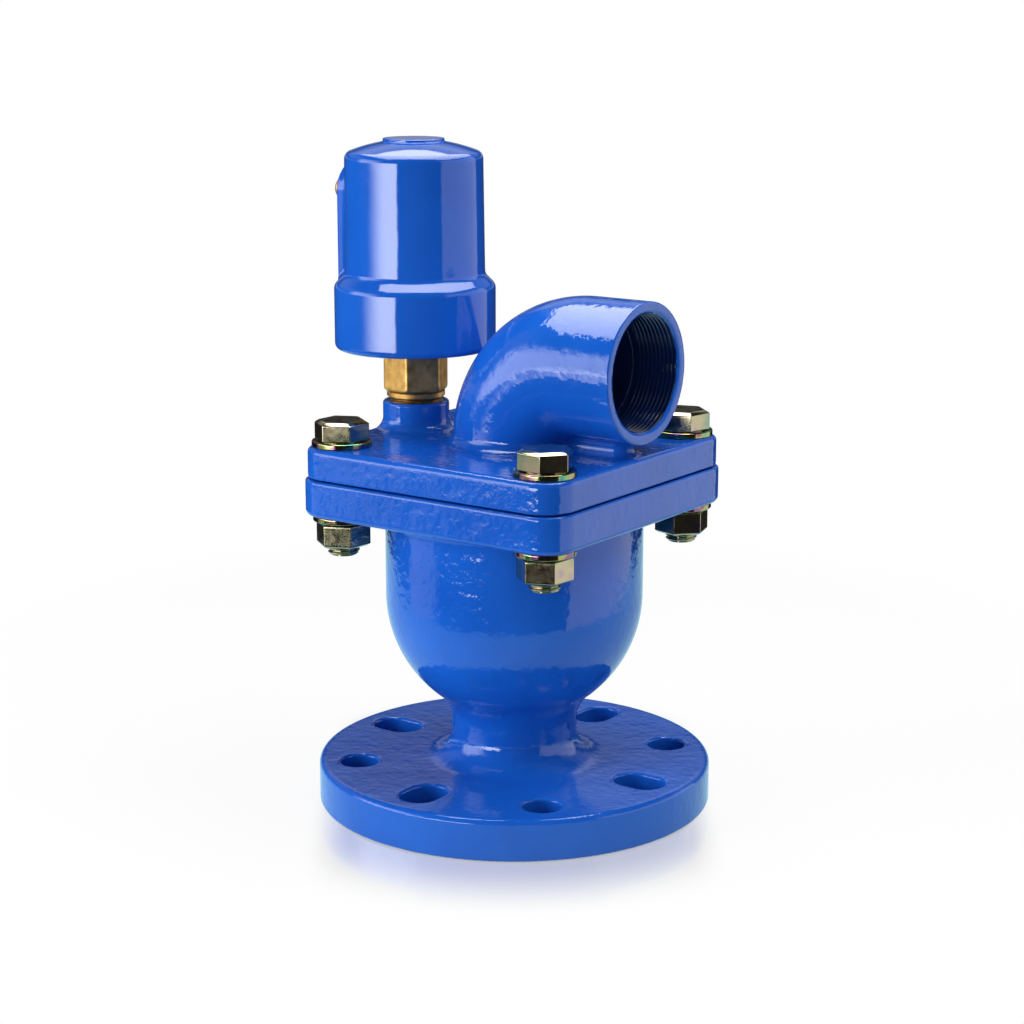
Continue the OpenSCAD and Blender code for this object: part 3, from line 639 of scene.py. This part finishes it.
lip_mark = OUTLET_X - MOUTH_LIP / 2
across = graded(-cover_half - BOSS_ROOM, cover_half, COVER_CELL, fine=0.4, marks=[lip_mark], reach=2.0)
deep = graded(-cover_half, cover_half, COVER_CELL)
edge_levels = [joint_z + 0.5, cover_top - 1, BOSS_TOP - 0.5]
height = graded(joint_z, cover_high[2], COVER_CELL, fine=0.6, marks=edge_levels, reach=2.0)
points, quads, normals = surface_of(cover_field, [across, deep, height])
middles = points[quads].mean(axis=1)
# The bore's faces take the dark coating, which paints the shade inside it.
in_bore = (air_way(*middles.T) < 2 * BORE_EDGE) & (middles[:, 0] < OUTLET_X - MOUTH_LIP)
lining = (bore_coating, in_bore)
finish_piece("cover_casting", points, quads, rough_coating, "epoxy_coating", ["cover"], normals, lining)

# %% [markdown]
# The vent housing is a third casting, a small bell with a skirt, a bevel, a domed crown and a round
# pad on top. A flat pad with a round head runs up its back and carries the nozzle. The bell narrows a
# little upwards, so that its pattern can be drawn out of the sand.

# %% Vent housing
housing_low, housing_high = node_box("vent_housing")
SKIRT_R = 41.0
SKIRT_TOP = housing_low[2] + 32.4
SKIRT_ROUND = 3.0
BEVEL_EDGE = 1.2
HOUSING_R = 35.3
HOUSING_DRAFT = 0.45
SHOULDER_Z = housing_low[2] + 99.3
SHOULDER_ROUND = 2.5
CROWN_RISE = 4.8
CROWN_R = 15.5
CROWN_EDGE = 0.5
HOUSING_BORE = 29.2
BASE_R = 33.5
LEDGE_Z = housing_low[2] + 16.6
ROOF_Z = SHOULDER_Z - 7.4
NOZZLE_Z = SHOULDER_Z - 20.7
NOZZLE_PAD_R = 14.5
NOZZLE_FACE = HOUSING_R + 3.7
NOZZLE_SHANK = 4.05
BELL_LAP = 10.0
HOUSING_CELL = 1.0
crown_rim = HOUSING_R - SHOULDER_ROUND
dome_drop = (crown_rim ** 2 - CROWN_R ** 2 - CROWN_RISE ** 2) / (2 * CROWN_RISE)
dome_r = np.hypot(crown_rim, dome_drop)


def housing_field(x, y, z):
    """Skirt with a bevel, bell with a domed crown, pad on top and nozzle pad behind, bored from below."""
    out = np.hypot(x + VENT_X, y)
    bevel = (out - SKIRT_R + z - SKIRT_TOP) / np.sqrt(2)
    skirt = meet(meet(out - SKIRT_R, housing_low[2] - z, SKIRT_ROUND), bevel, BEVEL_EDGE)
    climb = (z - SKIRT_TOP) / (SHOULDER_Z - SKIRT_TOP)
    dome = np.hypot(out, z - (SHOULDER_Z - dome_drop)) - dome_r
    bell = meet(out - HOUSING_R - HOUSING_DRAFT * (1 - 2 * climb), dome, SHOULDER_ROUND)
    bell = np.maximum(bell, SKIRT_TOP - BELL_LAP - z)
    button = meet(out - CROWN_R, slab(z, SHOULDER_Z, housing_high[2]), CROWN_EDGE)
    back = np.hypot(y, np.maximum(z - NOZZLE_Z, 0)) - NOZZLE_PAD_R
    back = meet(back, -x - VENT_X - NOZZLE_FACE, BEVEL_EDGE)
    back = np.maximum(back, np.maximum(SKIRT_TOP - LAP - z, x + VENT_X))
    iron = join(skirt, bell, BEVEL_EDGE)
    iron = join(join(iron, button, CROWN_EDGE), back, 2 * BEVEL_EDGE)
    room = np.maximum(out - HOUSING_BORE, z - ROOF_Z)
    socket = np.maximum(out - BASE_R, z - LEDGE_Z)
    iron = cut(iron, np.minimum(room, socket), CROWN_EDGE)
    nozzle_hole = np.maximum(np.hypot(y, z - NOZZLE_Z) - NOZZLE_SHANK, x + VENT_X)
    return cut(iron, nozzle_hole, CROWN_EDGE / 2)


across = graded(housing_low[0], SKIRT_R - VENT_X, HOUSING_CELL)
deep = graded(-SKIRT_R, SKIRT_R, HOUSING_CELL)
edge_levels = [housing_high[2] - 0.5, SHOULDER_Z - 0.5]
height = graded(housing_low[2], housing_high[2], HOUSING_CELL, fine=0.5, marks=edge_levels, reach=2.0)
points, quads, normals = surface_of(housing_field, [across, deep, height])
finish_piece("vent_housing_casting", points, quads, smooth_coating, "epoxy_coating", ["vent_housing"],
             normals)

# %% [markdown]
# Turned and rolled pieces are grids. An outline runs round the axis, one ring of points for each step
# of a profile, so a helper makes the quads of any grid. Machined corners are never quite sharp: a
# second helper turns each corner of an outline to a small arc, and puts a point just before and after
# it, so that the shading stays flat on the flats.

# %% Grids and rounded outlines
HOLD = 0.4


def grid_quads(rows, columns):
    """Quads of a grid of points whose columns close round, row after row."""
    row, column = np.meshgrid(np.arange(rows - 1), np.arange(columns), indexing="ij")
    here, above = row * columns, (row + 1) * columns
    after = (column + 1) % columns
    return np.stack([here + column, here + after, above + after, above + column], axis=-1).reshape(-1, 4)


def rounded(corners, radii, closed, steps=5):
    """Outline through the corners, each turned to an arc of its radius with a point held on both sides."""
    corners = np.array(corners, dtype=float)
    outline = []
    for i, (corner, radius) in enumerate(zip(corners, radii)):
        ends = not closed and i in (0, len(corners) - 1)
        if ends or radius == 0:
            outline.append(corner[None, :])
            continue
        back = corners[i - 1] - corner
        ahead = corners[(i + 1) % len(corners)] - corner
        back, ahead = back / np.hypot(*back), ahead / np.hypot(*ahead)
        half = np.arccos(np.clip(back @ ahead, -1, 1)) / 2
        middle = corner + (back + ahead) / np.hypot(*(back + ahead)) * radius / np.sin(half)
        start, end = corner + back * radius / np.tan(half), corner + ahead * radius / np.tan(half)
        share = np.linspace(0, 1, steps + 1)[:, None]
        chord = start * (1 - share) + end * share - middle
        arc = middle + chord / np.hypot(chord[:, 0], chord[:, 1])[:, None] * radius
        hold = radius * HOLD
        outline += [(start + back * hold)[None, :], arc, (end + ahead * hold)[None, :]]
    return np.concatenate(outline)


def wrapped(radius, levels):
    """Grid round the upright axis from the radius at each level and angle."""
    turn = np.linspace(0, 2 * np.pi, radius.shape[1], endpoint=False)
    tall = np.broadcast_to(levels[:, None], radius.shape)
    points = np.stack([radius * np.cos(turn), radius * np.sin(turn), tall], axis=2)
    return points.reshape(-1, 3), grid_quads(*radius.shape)


def spun(profile, columns):
    """Grid of a profile of (radius, height) carried round the upright axis."""
    return wrapped(np.repeat(profile[:, :1], columns, axis=1), profile[:, 1])


def gathered(parts):
    """Several grids of points and quads as one."""
    starts = np.cumsum([0] + [len(points) for points, _ in parts[:-1]])
    quads = [quads + start for (_, quads), start in zip(parts, starts)]
    return np.concatenate([points for points, _ in parts]), np.concatenate(quads)


square = rounded([[0, 0], [4, 0], [4, 4], [0, 4]], [1] * 4, True)
print("a square with rounded corners takes", len(square), "points")

# %% [markdown]
# Bolt heads and nuts are forged hexagons. Their corners are turned off by a cone, so each flat ends in
# a curved edge. A grid follows that edge exactly if its rows do: for every direction round the hexagon
# the cone is met at its own height, and the profile breaks there.

# %% Hexagons
HEX_AF = 24.0
HEX_EDGE = 0.45
CONE = np.tan(np.radians(30))


def hexagon_outline(across_flats, turn, edge):
    """Points of a hexagon with rounded corners, turned about the axis by an angle in degrees."""
    angles = np.radians(turn + 60 * np.arange(6))
    corner_r = across_flats / 2 / np.cos(np.radians(30))
    return rounded(np.stack([np.cos(angles), np.sin(angles)], axis=1) * corner_r, [edge] * 6, True)


def lofted(outline, rows):
    """Grid with one ring for each row; a row gives the radius and height in each outline direction."""
    reach = np.hypot(*outline.T)
    ring = outline / reach[:, None]
    radius = np.stack([row[0] + 0 * reach for row in rows])
    level = np.stack([row[1] + 0 * reach for row in rows])
    points = np.concatenate([radius[:, :, None] * ring[None, :, :], level[:, :, None]], axis=2)
    return points.reshape(-1, 3), grid_quads(len(rows), len(outline))


def chamfer_rows(reach, inner, level, rise, soft=0.35):
    """Rows over one chamfered end: up the flat, round the curved edge, along the cone and to the face.

    reach is the outline's distance from the axis, inner the cone's radius at the face, level the face's
    height, rise is 1 for an upper face and -1 for a lower one, and soft is the size of the rounding."""
    break_z = level - rise * np.maximum(reach - inner, 0) * CONE
    rows = [(reach, break_z - rise * soft * drop) for drop in (2.5, 1.0)]
    rows.append((reach - soft * 0.12, break_z - rise * soft * 0.25))
    rows.append((reach - soft * 0.5, break_z + rise * soft * 0.12))
    for share in (0.15, 0.85):
        at = (reach - soft * 0.5) * (1 - share) + inner * share
        rows.append((at, level - rise * np.maximum(at - inner, 0) * CONE))
    rows += [(inner, level - rise * 0.1), (inner - 0.3, level), (inner - 0.8, level)]
    return rows


def hexagon(across_flats, turn, low, high, low_end, high_end, bore):
    """A hexagon bar between two heights, each end chamfered to a radius or plain, with a bore or none."""
    outline = hexagon_outline(across_flats, turn, HEX_EDGE)
    reach = np.hypot(*outline.T)
    rows = [(bore, low)]
    if low_end:
        rows += chamfer_rows(reach, low_end, low, -1)[::-1]
    else:
        # A plain end is rounded by a few tenths of a millimetre.
        rows += [(reach - 0.5, low), (reach - 0.12, low + 0.03), (reach, low + 0.18), (reach, low + 0.5)]
    rows += chamfer_rows(reach, high_end, high, 1) + [(bore, high)]
    if bore:
        rows.append(rows[0])
    return lofted(outline, rows)


points, quads = hexagon(HEX_AF, turn=0, low=0.0, high=10.0, low_end=0, high_end=11.4, bore=0.0)
print("one bolt head:", len(points), "points")

# %% [markdown]
# A rolled thread is a ridge that climbs one pitch in each turn. On a grid of height and angle the
# radius follows a wave whose phase is height over pitch less the turn. The wave is a triangle with its
# tips cut off, as thread tables draw it, and the end of the bolt is turned to a cone.

# %% Threads
ROWS_PER_TURN = 14
# The flats of the ridge and the groove, as shares of the wave.
OUTER_FLAT = 0.14
INNER_FLAT = 0.16


def thread_radius(levels, pitch, columns, root, tip, root_flat, tip_flat):
    """root + (tip - root) * wave at each level and angle; the flats are shares of the triangle wave."""
    turn = np.arange(columns) / columns
    ramp = np.abs((levels[:, None] / pitch - turn) % 1 * 2 - 1)
    return root + (tip - root) * np.clip((ramp - root_flat) / (1 - root_flat - tip_flat), 0, 1)


def threaded_bar(major, depth, pitch, low, high, columns, end_cone):
    """Upright threaded bar with closed ends, the lower one turned to a cone."""
    levels = np.arange(low, high + pitch / ROWS_PER_TURN, pitch / ROWS_PER_TURN)
    radius = thread_radius(levels, pitch, columns, major - depth, major, INNER_FLAT, OUTER_FLAT)
    limit = major - np.maximum(end_cone - (levels - low), 0)
    pole = np.zeros((1, columns))
    radius = np.concatenate([pole, np.minimum(radius, limit[:, None]), pole])
    return wrapped(radius, np.concatenate([levels[:1], levels, levels[-1:]]))


points, quads = threaded_bar(BOLT_R, depth=1.2, pitch=2.0, low=0.0, high=8.0, columns=72, end_cone=1.4)
print("a stretch of bolt thread:", len(points), "points")

# %% [markdown]
# Four bolts clamp the joint. Each is a head with a round face under it, a plain shank that only the
# holes see, and a thread that shows below the nut. They were tightened by hand, so each head and nut
# has its own turn.

# %% Bolts, nuts and washers
# Each bolt: its corner of the plate, and the turns of its head and its nut in degrees.
BOLTS = [((-1, -1), 26, 25), ((1, -1), -6, 24), ((1, 1), 18, 46), ((-1, 1), 40, 10)]
HEAD_FACE_R = 11.3
HEAD_SEAT_R = 10.9
HEAD_SEAT_T = 0.6
NUT_FACE_R = 11.4
THREAD_PITCH = 2.0
THREAD_DEPTH = 1.2
THREAD_IN_NUT = 3.0
END_CONE = 1.5
SHANK_TAPER = 2.0
# Grids of one piece reach TUCK into each other, and pieces keep FIT between them.
TUCK = 0.1
FIT = 0.05
head_low = washer_high[2]
head_high = bolts_high[2]
bolt_end = bolts_low[2]
nut_low, nut_high = (corner[2] for corner in node_box("cover_nuts"))


def moved(grid, place):
    """A grid moved from the origin to a place."""
    return grid[0] + place, grid[1]


def washer(low, high):
    """Flat ring with rounded rims, as a closed profile carried round the axis."""
    hole = (BOLT_R + BOLT_HOLE_R) / 2
    corners = [[hole, low], [WASHER_R, low], [WASHER_R, high], [hole, high]]
    profile = rounded(corners, [0.3, 0.5, 0.7, 0.3], True)
    return spun(np.concatenate([profile, profile[:1]]), columns=96)


def bolt(turn):
    """Grids of one bolt: head, the round seat under it, the plain shank and the thread."""
    seat_top = head_low + HEAD_SEAT_T
    head = hexagon(HEX_AF, turn, seat_top - TUCK, head_high, low_end=0, high_end=HEAD_FACE_R, bore=0.0)
    seat_corners = [[0, seat_top], [HEAD_SEAT_R, seat_top], [HEAD_SEAT_R, head_low], [0, head_low]]
    seat = spun(rounded(seat_corners, [0, 0.1, 0.1, 0], False), columns=72)
    core_r = BOLT_R - THREAD_DEPTH - TUCK
    shank_low = nut_low + LAP
    shank_corners = [[0, shank_low], [core_r, shank_low], [core_r, nut_high],
                     [BOLT_R, nut_high + SHANK_TAPER], [BOLT_R, head_low], [0, head_low]]
    shank = spun(np.array(shank_corners), columns=64)
    thread_top = nut_low + THREAD_IN_NUT
    thread = threaded_bar(BOLT_R, THREAD_DEPTH, THREAD_PITCH, bolt_end, thread_top, 72, END_CONE)
    return [head, seat, shank, thread]


heads, nuts, upper, lower = [], [], [], []
for corner, head_turn, nut_turn in BOLTS:
    place = np.array([*corner, 0.0]) * bolt_place
    nut = hexagon(HEX_AF, nut_turn, nut_low, nut_high, NUT_FACE_R, NUT_FACE_R, BOLT_R + FIT)
    heads += [moved(grid, place) for grid in bolt(head_turn)]
    nuts.append(moved(nut, place))
    upper.append(moved(washer(washer_low[2], washer_high[2]), place))
    lower.append(moved(washer(nut_washer_low[2], nut_washer_high[2]), place))
finish_piece("bolt_set", *gathered(heads), zinc, "zinc_steel", ["cover_bolts"])
finish_piece("nut_set", *gathered(nuts), zinc, "zinc_steel", ["cover_nuts"])
finish_piece("upper_washer_set", *gathered(upper), washer_zinc, "zinc_steel", ["head_washers"])
finish_piece("lower_washer_set", *gathered(lower), washer_zinc, "zinc_steel", ["nut_washers"])

# %% [markdown]
# The vent valve stands on a brass fitting: a pipe thread in the boss, a chamfered collar, a hexagon
# for the spanner with its lower corners turned off, and a disc that closes the housing. It is made of
# grids like the bolts, only larger.

# %% Brass base
base_low, base_high = node_box("vent_base")
COLLAR_R = 14.9
COLLAR_EDGE = 1.0
COLLAR_Z = BOSS_TOP + 1.5
HEX_Z = COLLAR_Z + 3.2
DISC_Z = housing_low[2] + 1.6
BASE_AF = 29.5
BASE_TURN = -8.5
BASE_HEX_EDGE = 2.0
TURNED_SLOPE = 1.03
BASE_FLARE = 5.0
PIPE_PITCH = 1.814
PIPE_DEPTH = 1.16
PIPE_CONE = 1.2


def base_bar():
    """Hexagon whose lower corners are turned off by a cone and whose top flares to the disc."""
    outline = hexagon_outline(BASE_AF, BASE_TURN, BASE_HEX_EDGE)
    reach = np.hypot(*outline.T)
    inner = np.minimum(reach, COLLAR_R)
    cone_z = HEX_Z + np.maximum(reach - COLLAR_R, 0) * TURNED_SLOPE
    rows = [(0, HEX_Z), (inner - 0.3, HEX_Z), (inner, HEX_Z + 0.02)]
    rows += [(reach - 0.15, cone_z - 0.1), (reach, cone_z + 0.3), (reach, cone_z + 1.0)]
    for angle in np.linspace(0, np.pi / 2, 9):
        flared = BASE_AF / 2 + BASE_FLARE * (1 - np.cos(angle))
        rows.append((np.maximum(reach, flared), DISC_Z - BASE_FLARE * (1 - np.sin(angle))))
    return lofted(outline, rows + [(0, DISC_Z)])


collar_corners = [[0, COLLAR_Z], [COLLAR_R - COLLAR_EDGE, COLLAR_Z], [COLLAR_R, COLLAR_Z + COLLAR_EDGE],
                  [COLLAR_R, HEX_Z + TUCK], [0, HEX_Z + TUCK]]
collar = spun(rounded(collar_corners, [0, 0.2, 0.2, 0.1, 0], False), columns=96)
disc_r = BASE_R - FIT
disc_corners = [[0, DISC_Z], [disc_r, DISC_Z], [disc_r, base_high[2]], [0, base_high[2]]]
disc = spun(rounded(disc_corners, [0, 0.6, 0.6, 0], False), columns=120)
pipe_thread = threaded_bar(PORT_R - FIT, PIPE_DEPTH, PIPE_PITCH, base_low[2], COLLAR_Z, 96, PIPE_CONE)
base = moved(gathered([collar, base_bar(), disc, pipe_thread]), np.array([-VENT_X, 0.0, 0.0]))
finish_piece("brass_base", *base, brass, "brass", ["vent_base"])

# %% [markdown]
# Air leaves the vent valve through a brass nozzle in the pad behind the housing. It is one profile,
# turned about a level axis: a round head with a hole outside, a shank in the wall and a small tip.

# %% Nozzle
nozzle_low, nozzle_high = node_box("vent_nozzle")
HEAD_R = 6.0
HEAD_ROUND = 2.4
TIP_R = 2.5
AIR_HOLE_R = 2.0
JET_R = 0.8
shank_r = NOZZLE_SHANK - FIT
head_face = -VENT_X - nozzle_low[0]
tip_face = -VENT_X - nozzle_high[0]
nozzle_corners = [[JET_R, tip_face], [TIP_R, tip_face], [TIP_R, HOUSING_BORE], [shank_r, HOUSING_BORE],
                  [shank_r, NOZZLE_FACE], [HEAD_R, NOZZLE_FACE], [HEAD_R, head_face],
                  [AIR_HOLE_R, head_face], [AIR_HOLE_R, NOZZLE_FACE], [JET_R, NOZZLE_FACE]]
nozzle_rounds = [0.1, 0.3, 0.2, 0.1, 0.1, 0.3, HEAD_ROUND, 0.3, 0.1, 0.1]
nozzle_profile = rounded(nozzle_corners, nozzle_rounds, True)
points, quads = spun(np.concatenate([nozzle_profile, nozzle_profile[:1]]), columns=64)
points = np.stack([-VENT_X - points[:, 2], points[:, 1], NOZZLE_Z + points[:, 0]], axis=1)
finish_piece("brass_nozzle", points, quads, brass, "brass", ["vent_nozzle"])

# %% [markdown]
# The outlet is cut with a pipe thread of eleven turns to the inch. It is a sleeve of the casting's own
# iron: the inside is a grid of depth and angle with the thread's wave, and the outside is a plain
# cylinder buried in the wall, behind the lip of the mouth.

# %% Outlet thread
OUTLET_PITCH = 25.4 / 11
SLEEVE_COLUMNS = 160
sleeve_start = OUTLET_X - THREAD_LENGTH + FIT
depth = np.arange(sleeve_start, OUTLET_X - MOUTH_LIP, OUTLET_PITCH / ROWS_PER_TURN)
inside = thread_radius(depth, OUTLET_PITCH, SLEEVE_COLUMNS, THREAD_ROOT_R, THREAD_R, OUTER_FLAT, INNER_FLAT)
outside = np.full((2, SLEEVE_COLUMNS), SOCKET_R - FIT)
depth = np.concatenate([depth, depth[-1:], depth[:1], depth[:1]])
points, quads = wrapped(np.concatenate([inside, outside, inside[:1]]), depth)
points = np.stack([points[:, 2], points[:, 0], OUTLET_Z + points[:, 1]], axis=1)
# The thread takes the bore's dark coating too, painted shade inside the outlet.
finish_piece("outlet_thread", points, quads, bore_coating, "epoxy_coating", ["cover"])

# %% [markdown]
# The valve stands on a white table top that fades into a white room. The table is pale by its own
# colour, and for the camera and for reflections it glows as well, so that it stays white and keeps a
# soft shadow. In reflections its glow is tinted a little blue, a painted bounce of light from the blue
# casting; it dims towards the front and is dark under the flange. It reaches further behind the valve
# than in front. Close to the flange it is polished, and shows the camera a mirrored rim that fades over
# a hand's breadth.

# %% Table
TABLE_R = 450.0
TABLE_BACK = 170.0
TABLE_GAP = 0.2
TABLE_SIDES = 180
# Distances between which the polish ends, the table fades, the flange's cover ends and the front dims.
POLISHED = (104.0, 165.0)
FADING = (300.0, 430.0)
COVERED = (96.0, 100.0)
FRONT = (40.0, 140.0)
FRONT_LOSS = (0.0, 0.15)
NEAR_GLOW = 0.9
# The table's glow in reflections takes this tint: painted bounce light from the blue casting.
BLUE_BOUNCE = "#C0F2FF"
MIRROR_HALF = 92.0
MIRROR_SOFT = 12.0
MIRROR_SHARE = 0.5
MIRROR_BLUR = 0.16
WHITE = linear("#FFFFFF")
table_middle = -to_front * TABLE_BACK


def window(tree, value, low, high, soft):
    """1 between two limits, 0 outside them, with the softness given for each edge."""
    sides = []
    for edge, blur, start in [(low, soft[0], 0.0), (high, soft[1], 1.0)]:
        change = ranged(value, (edge - blur, edge + blur), (start, 1.0 - start))
        sides.append(add(tree, "MapRange", change, interpolation_type="SMOOTHSTEP"))
    return add(tree, "Math", {0: sides[0], 1: sides[1]}, operation="MULTIPLY")


def table_top():
    """White table: glow for what sees it, more of it far away, and a mirror near the valve."""
    material, tree, shader, place = new_material("white_table_top")
    fill(tree, shader, {"Base Color": linear("#E7E7E7"), "Roughness": 0.6, "Specular IOR Level": 0.0})
    from_valve = add(tree, "VectorMath", {0: place}, operation="LENGTH").outputs["Value"]
    from_middle = add(tree, "VectorMath", {
        0: place, 1: table_middle * MM}, operation="DISTANCE").outputs["Value"]
    sideways, forward = (add(tree, "VectorMath", {
        0: place, 1: way}, operation="DOT_PRODUCT").outputs["Value"] for way in (to_right, to_front))
    path = add(tree, "LightPath").outputs
    by_eye, by_gloss = path["Is Camera Ray"], path["Is Glossy Ray"]

    near = ranged(from_valve, np.multiply(POLISHED, MM), (MIRROR_SHARE, 0.0))
    polished = add(tree, "MapRange", near, interpolation_type="SMOOTHSTEP")
    half, soft = MIRROR_HALF * MM, MIRROR_SOFT * MM
    for factor in (window(tree, sideways, -half, half, (soft, soft)), by_eye):
        polished = add(tree, "Math", {0: polished, 1: factor}, operation="MULTIPLY")

    fading = ranged(from_middle, np.multiply(FADING, MM), (NEAR_GLOW, 1.0))
    glow = add(tree, "MapRange", fading, interpolation_type="SMOOTHSTEP")
    open_air = add(tree, "MapRange", ranged(from_valve, np.multiply(COVERED, MM), (0.0, 1.0)))
    seen = by_eye
    for ray in (by_gloss, path["Is Transmission Ray"]):
        seen = add(tree, "Math", {0: seen, 1: ray}, operation="MAXIMUM")
    for factor in (open_air, glow):
        seen = add(tree, "Math", {0: seen, 1: factor}, operation="MULTIPLY")

    loss = add(tree, "MapRange", ranged(forward, np.multiply(FRONT, MM), FRONT_LOSS))
    loss = add(tree, "Math", {0: loss, 1: by_gloss}, operation="MULTIPLY")
    level = add(tree, "Math", {0: 1.0, 1: loss}, operation="SUBTRACT")
    # For reflections the glow is tinted blue, a painted bounce light.
    hue = add(tree, "MixRGB", {"Fac": by_gloss, "Color1": WHITE, "Color2": linear(BLUE_BOUNCE)})
    white = add(tree, "Emission", {"Color": hue, "Strength": level})
    mirror = add(tree, "BsdfGlossy", {"Color": WHITE, "Roughness": MIRROR_BLUR})
    whole = shader
    for share, other in [(seen, white), (polished, mirror)]:
        whole = add(tree, "MixShader", {0: share, 1: whole, 2: other})
    fill(tree, tree.nodes["Material Output"], {"Surface": whole})
    return material


turn = np.linspace(0, 2 * np.pi, TABLE_SIDES, endpoint=False)
rim = np.stack([np.cos(turn), np.sin(turn), np.zeros(TABLE_SIDES)], axis=1) * TABLE_R
rim += table_middle - upward * TABLE_GAP
table_mesh = bpy.data.meshes.new("table")
table_mesh.from_pydata((rim * MM).tolist(), [], [list(range(TABLE_SIDES))])
table_mesh.materials.append(table_top())
put("table", table_mesh)
print("table of", 2 * TABLE_R, "mm")

# %% [markdown]
# A glossy coating shows the room more than the lamps, so the world holds a studio for reflections:
# white panels at the places where a photographer hangs them. A strip at the left front draws the
# upright highlight on the bell, a panel beside it and a low one light the left faces, a wide panel
# greys the right faces, and the wall behind has paler bands. In front it is dark. The camera itself
# sees plain white, and soft light from all round is a weak even grey.

# %% World
AMBIENT = 0.22
DARK = 0.025
# Each panel: its strength, its two sides in degrees from the camera, how soft both are, and the same
# for its lower and upper limit, as the upward part of the direction.
PANELS = {
    "strip": (11.0, (-63, -26), (20, 1.5), (-0.185, 0.05), (0.012, 0.04)),
    "left": (4.0, (-100, -60), (8, 12), (-0.03, 0.42), (0.04, 0.1)),
    "low": (0.8, (-105, -74), (4, 4), (-0.3, -0.185), (0.012, 0.008)),
    "right": (1.2, (48, 126), (1, 1), (-0.6, 0.45), (0.02, 0.05)),
}
# Each band of the wall behind: its strength, its lower and upper limit, and how soft both are.
BANDS = {
    "horizon": (0.3, (0.02, 0.13), (0.02, 0.03)),
    "wall": (0.28, (0.28, 0.6), (0.06, 0.1)),
    "middle": (0.4, (0.39, 0.6), (0.04, 0.1)),
}
WALL_DEPTH, WALL_SOFT = (0.1, 2.0), (0.2, 0.1)
MIDDLE_WIDTH, MIDDLE_SOFT = (-0.36, 0.36), (0.06, 0.06)


def panel(tree, before, strength, across, along):
    """The room's brightness so far plus a panel of this strength where both windows are open."""
    both = add(tree, "Math", {0: across, 1: along}, operation="MULTIPLY")
    return add(tree, "Math", {0: both, 1: strength, 2: before}, operation="MULTIPLY_ADD")


def studio_room(tree):
    """Brightness of the room in each direction; angles are from the camera, to the right if positive."""
    way = add(tree, "TexCoord").outputs["Generated"]
    turned = add(tree, "VectorRotate", {"Vector": way, "Angle": -CAMERA_AZIMUTH}, rotation_type="Z_AXIS")
    part = add(tree, "SeparateXYZ", {0: turned}).outputs
    front = add(tree, "Math", {0: part["Y"], 1: -1.0}, operation="MULTIPLY")
    angle = add(tree, "Math", {0: part["X"], 1: front}, operation="ARCTAN2")
    room = DARK
    for strength, sides, side_soft, limits, soft in PANELS.values():
        across = window(tree, angle, *np.radians(sides), np.radians(side_soft))
        room = panel(tree, room, strength, across, window(tree, part["Z"], *limits, soft))
    behind = window(tree, part["Y"], *WALL_DEPTH, WALL_SOFT)
    middle = window(tree, part["X"], *MIDDLE_WIDTH, MIDDLE_SOFT)
    middle = add(tree, "Math", {0: behind, 1: middle}, operation="MULTIPLY")
    for across, (strength, limits, soft) in zip((behind, behind, middle), BANDS.values()):
        room = panel(tree, room, strength, across, window(tree, part["Z"], *limits, soft))
    return room


world = bpy.data.worlds.new("studio")
bpy.context.scene.world = world
world.use_nodes = True
tree = world.node_tree
tree.nodes.clear()
path = add(tree, "LightPath").outputs
shine = add(tree, "Math", {0: path["Is Glossy Ray"], 1: path["Is Transmission Ray"]}, operation="MAXIMUM")
ambient, studio, white = (add(tree, "Background", {"Color": WHITE, "Strength": strength})
                          for strength in (AMBIENT, studio_room(tree), 1.0))
lit = add(tree, "MixShader", {0: shine, 1: ambient, 2: studio})
shown = add(tree, "MixShader", {0: path["Is Camera Ray"], 1: lit, 2: white})
add(tree, "OutputWorld", {"Surface": shown})
print("world with", len(tree.nodes), "nodes")

# %% [markdown]
# The lamps give the soft light that models the forms: large ones on the left and right, and weaker ones
# above and in front. The panels of the world already stand for them in reflections, so the lamps
# themselves aren't mirrored. The panel overhead is the other way round: it hangs so near that its place
# counts, which a world can't hold, so it is a lamp that only reflections see.

# %% Lights
LOOK_AT = 170.0
LAMP_SIZE = (800.0, 800.0)
LAMP_DISTANCE = 1100.0
# Each lamp: its angle from the camera and its height in degrees, and its power in watts.
LAMPS = {
    "left_lamp": (-75, 10, 14.0),
    "top_lamp": (180, 75, 4.0),
    "right_lamp": (80, 60, 10.0),
    "front_lamp": (0, -5, 4.2),
}
PANEL_SIZE = (356.0, 290.0)
PANEL_RIGHT, PANEL_BACK, PANEL_HEIGHT = -4.0, 55.0, 472.0
PANEL_SPREAD = np.radians(131)
PANEL_POWER = 1.5


def area_lamp(name, place, turns, size, power):
    """An area light of this size and place in mm and power in watts, turned by three angles."""
    light = bpy.data.lights.new(name, "AREA")
    light.shape = "RECTANGLE"
    light.size, light.size_y = np.multiply(size, MM).tolist()
    light.energy = power
    lamp = put(name, light)
    lamp.location = place * MM
    lamp.rotation_euler = turns
    print(name, "at", np.round(lamp.location, 2), "with", power, "W")
    return lamp


for name, (turn, height, power) in LAMPS.items():
    level = np.radians(height)
    way = heading(turn) * np.cos(level) + upward * np.sin(level)
    turns = (np.pi / 2 - level, 0.0, CAMERA_AZIMUTH + np.radians(turn))
    lamp = area_lamp(name, upward * LOOK_AT + way * LAMP_DISTANCE, turns, LAMP_SIZE, power)
    lamp.visible_glossy = False
place = to_right * PANEL_RIGHT - to_front * PANEL_BACK + upward * PANEL_HEIGHT
lamp = area_lamp("overhead_panel", place, (0.0, 0.0, CAMERA_AZIMUTH), PANEL_SIZE, PANEL_POWER)
lamp.data.spread = PANEL_SPREAD
lamp.visible_diffuse = False
lamp.visible_camera = False

# %% [markdown]
# Last, the picture is shown as it is: no film look, no compositor.

# %% Finish
bpy.context.scene.view_settings.view_transform = "Standard"
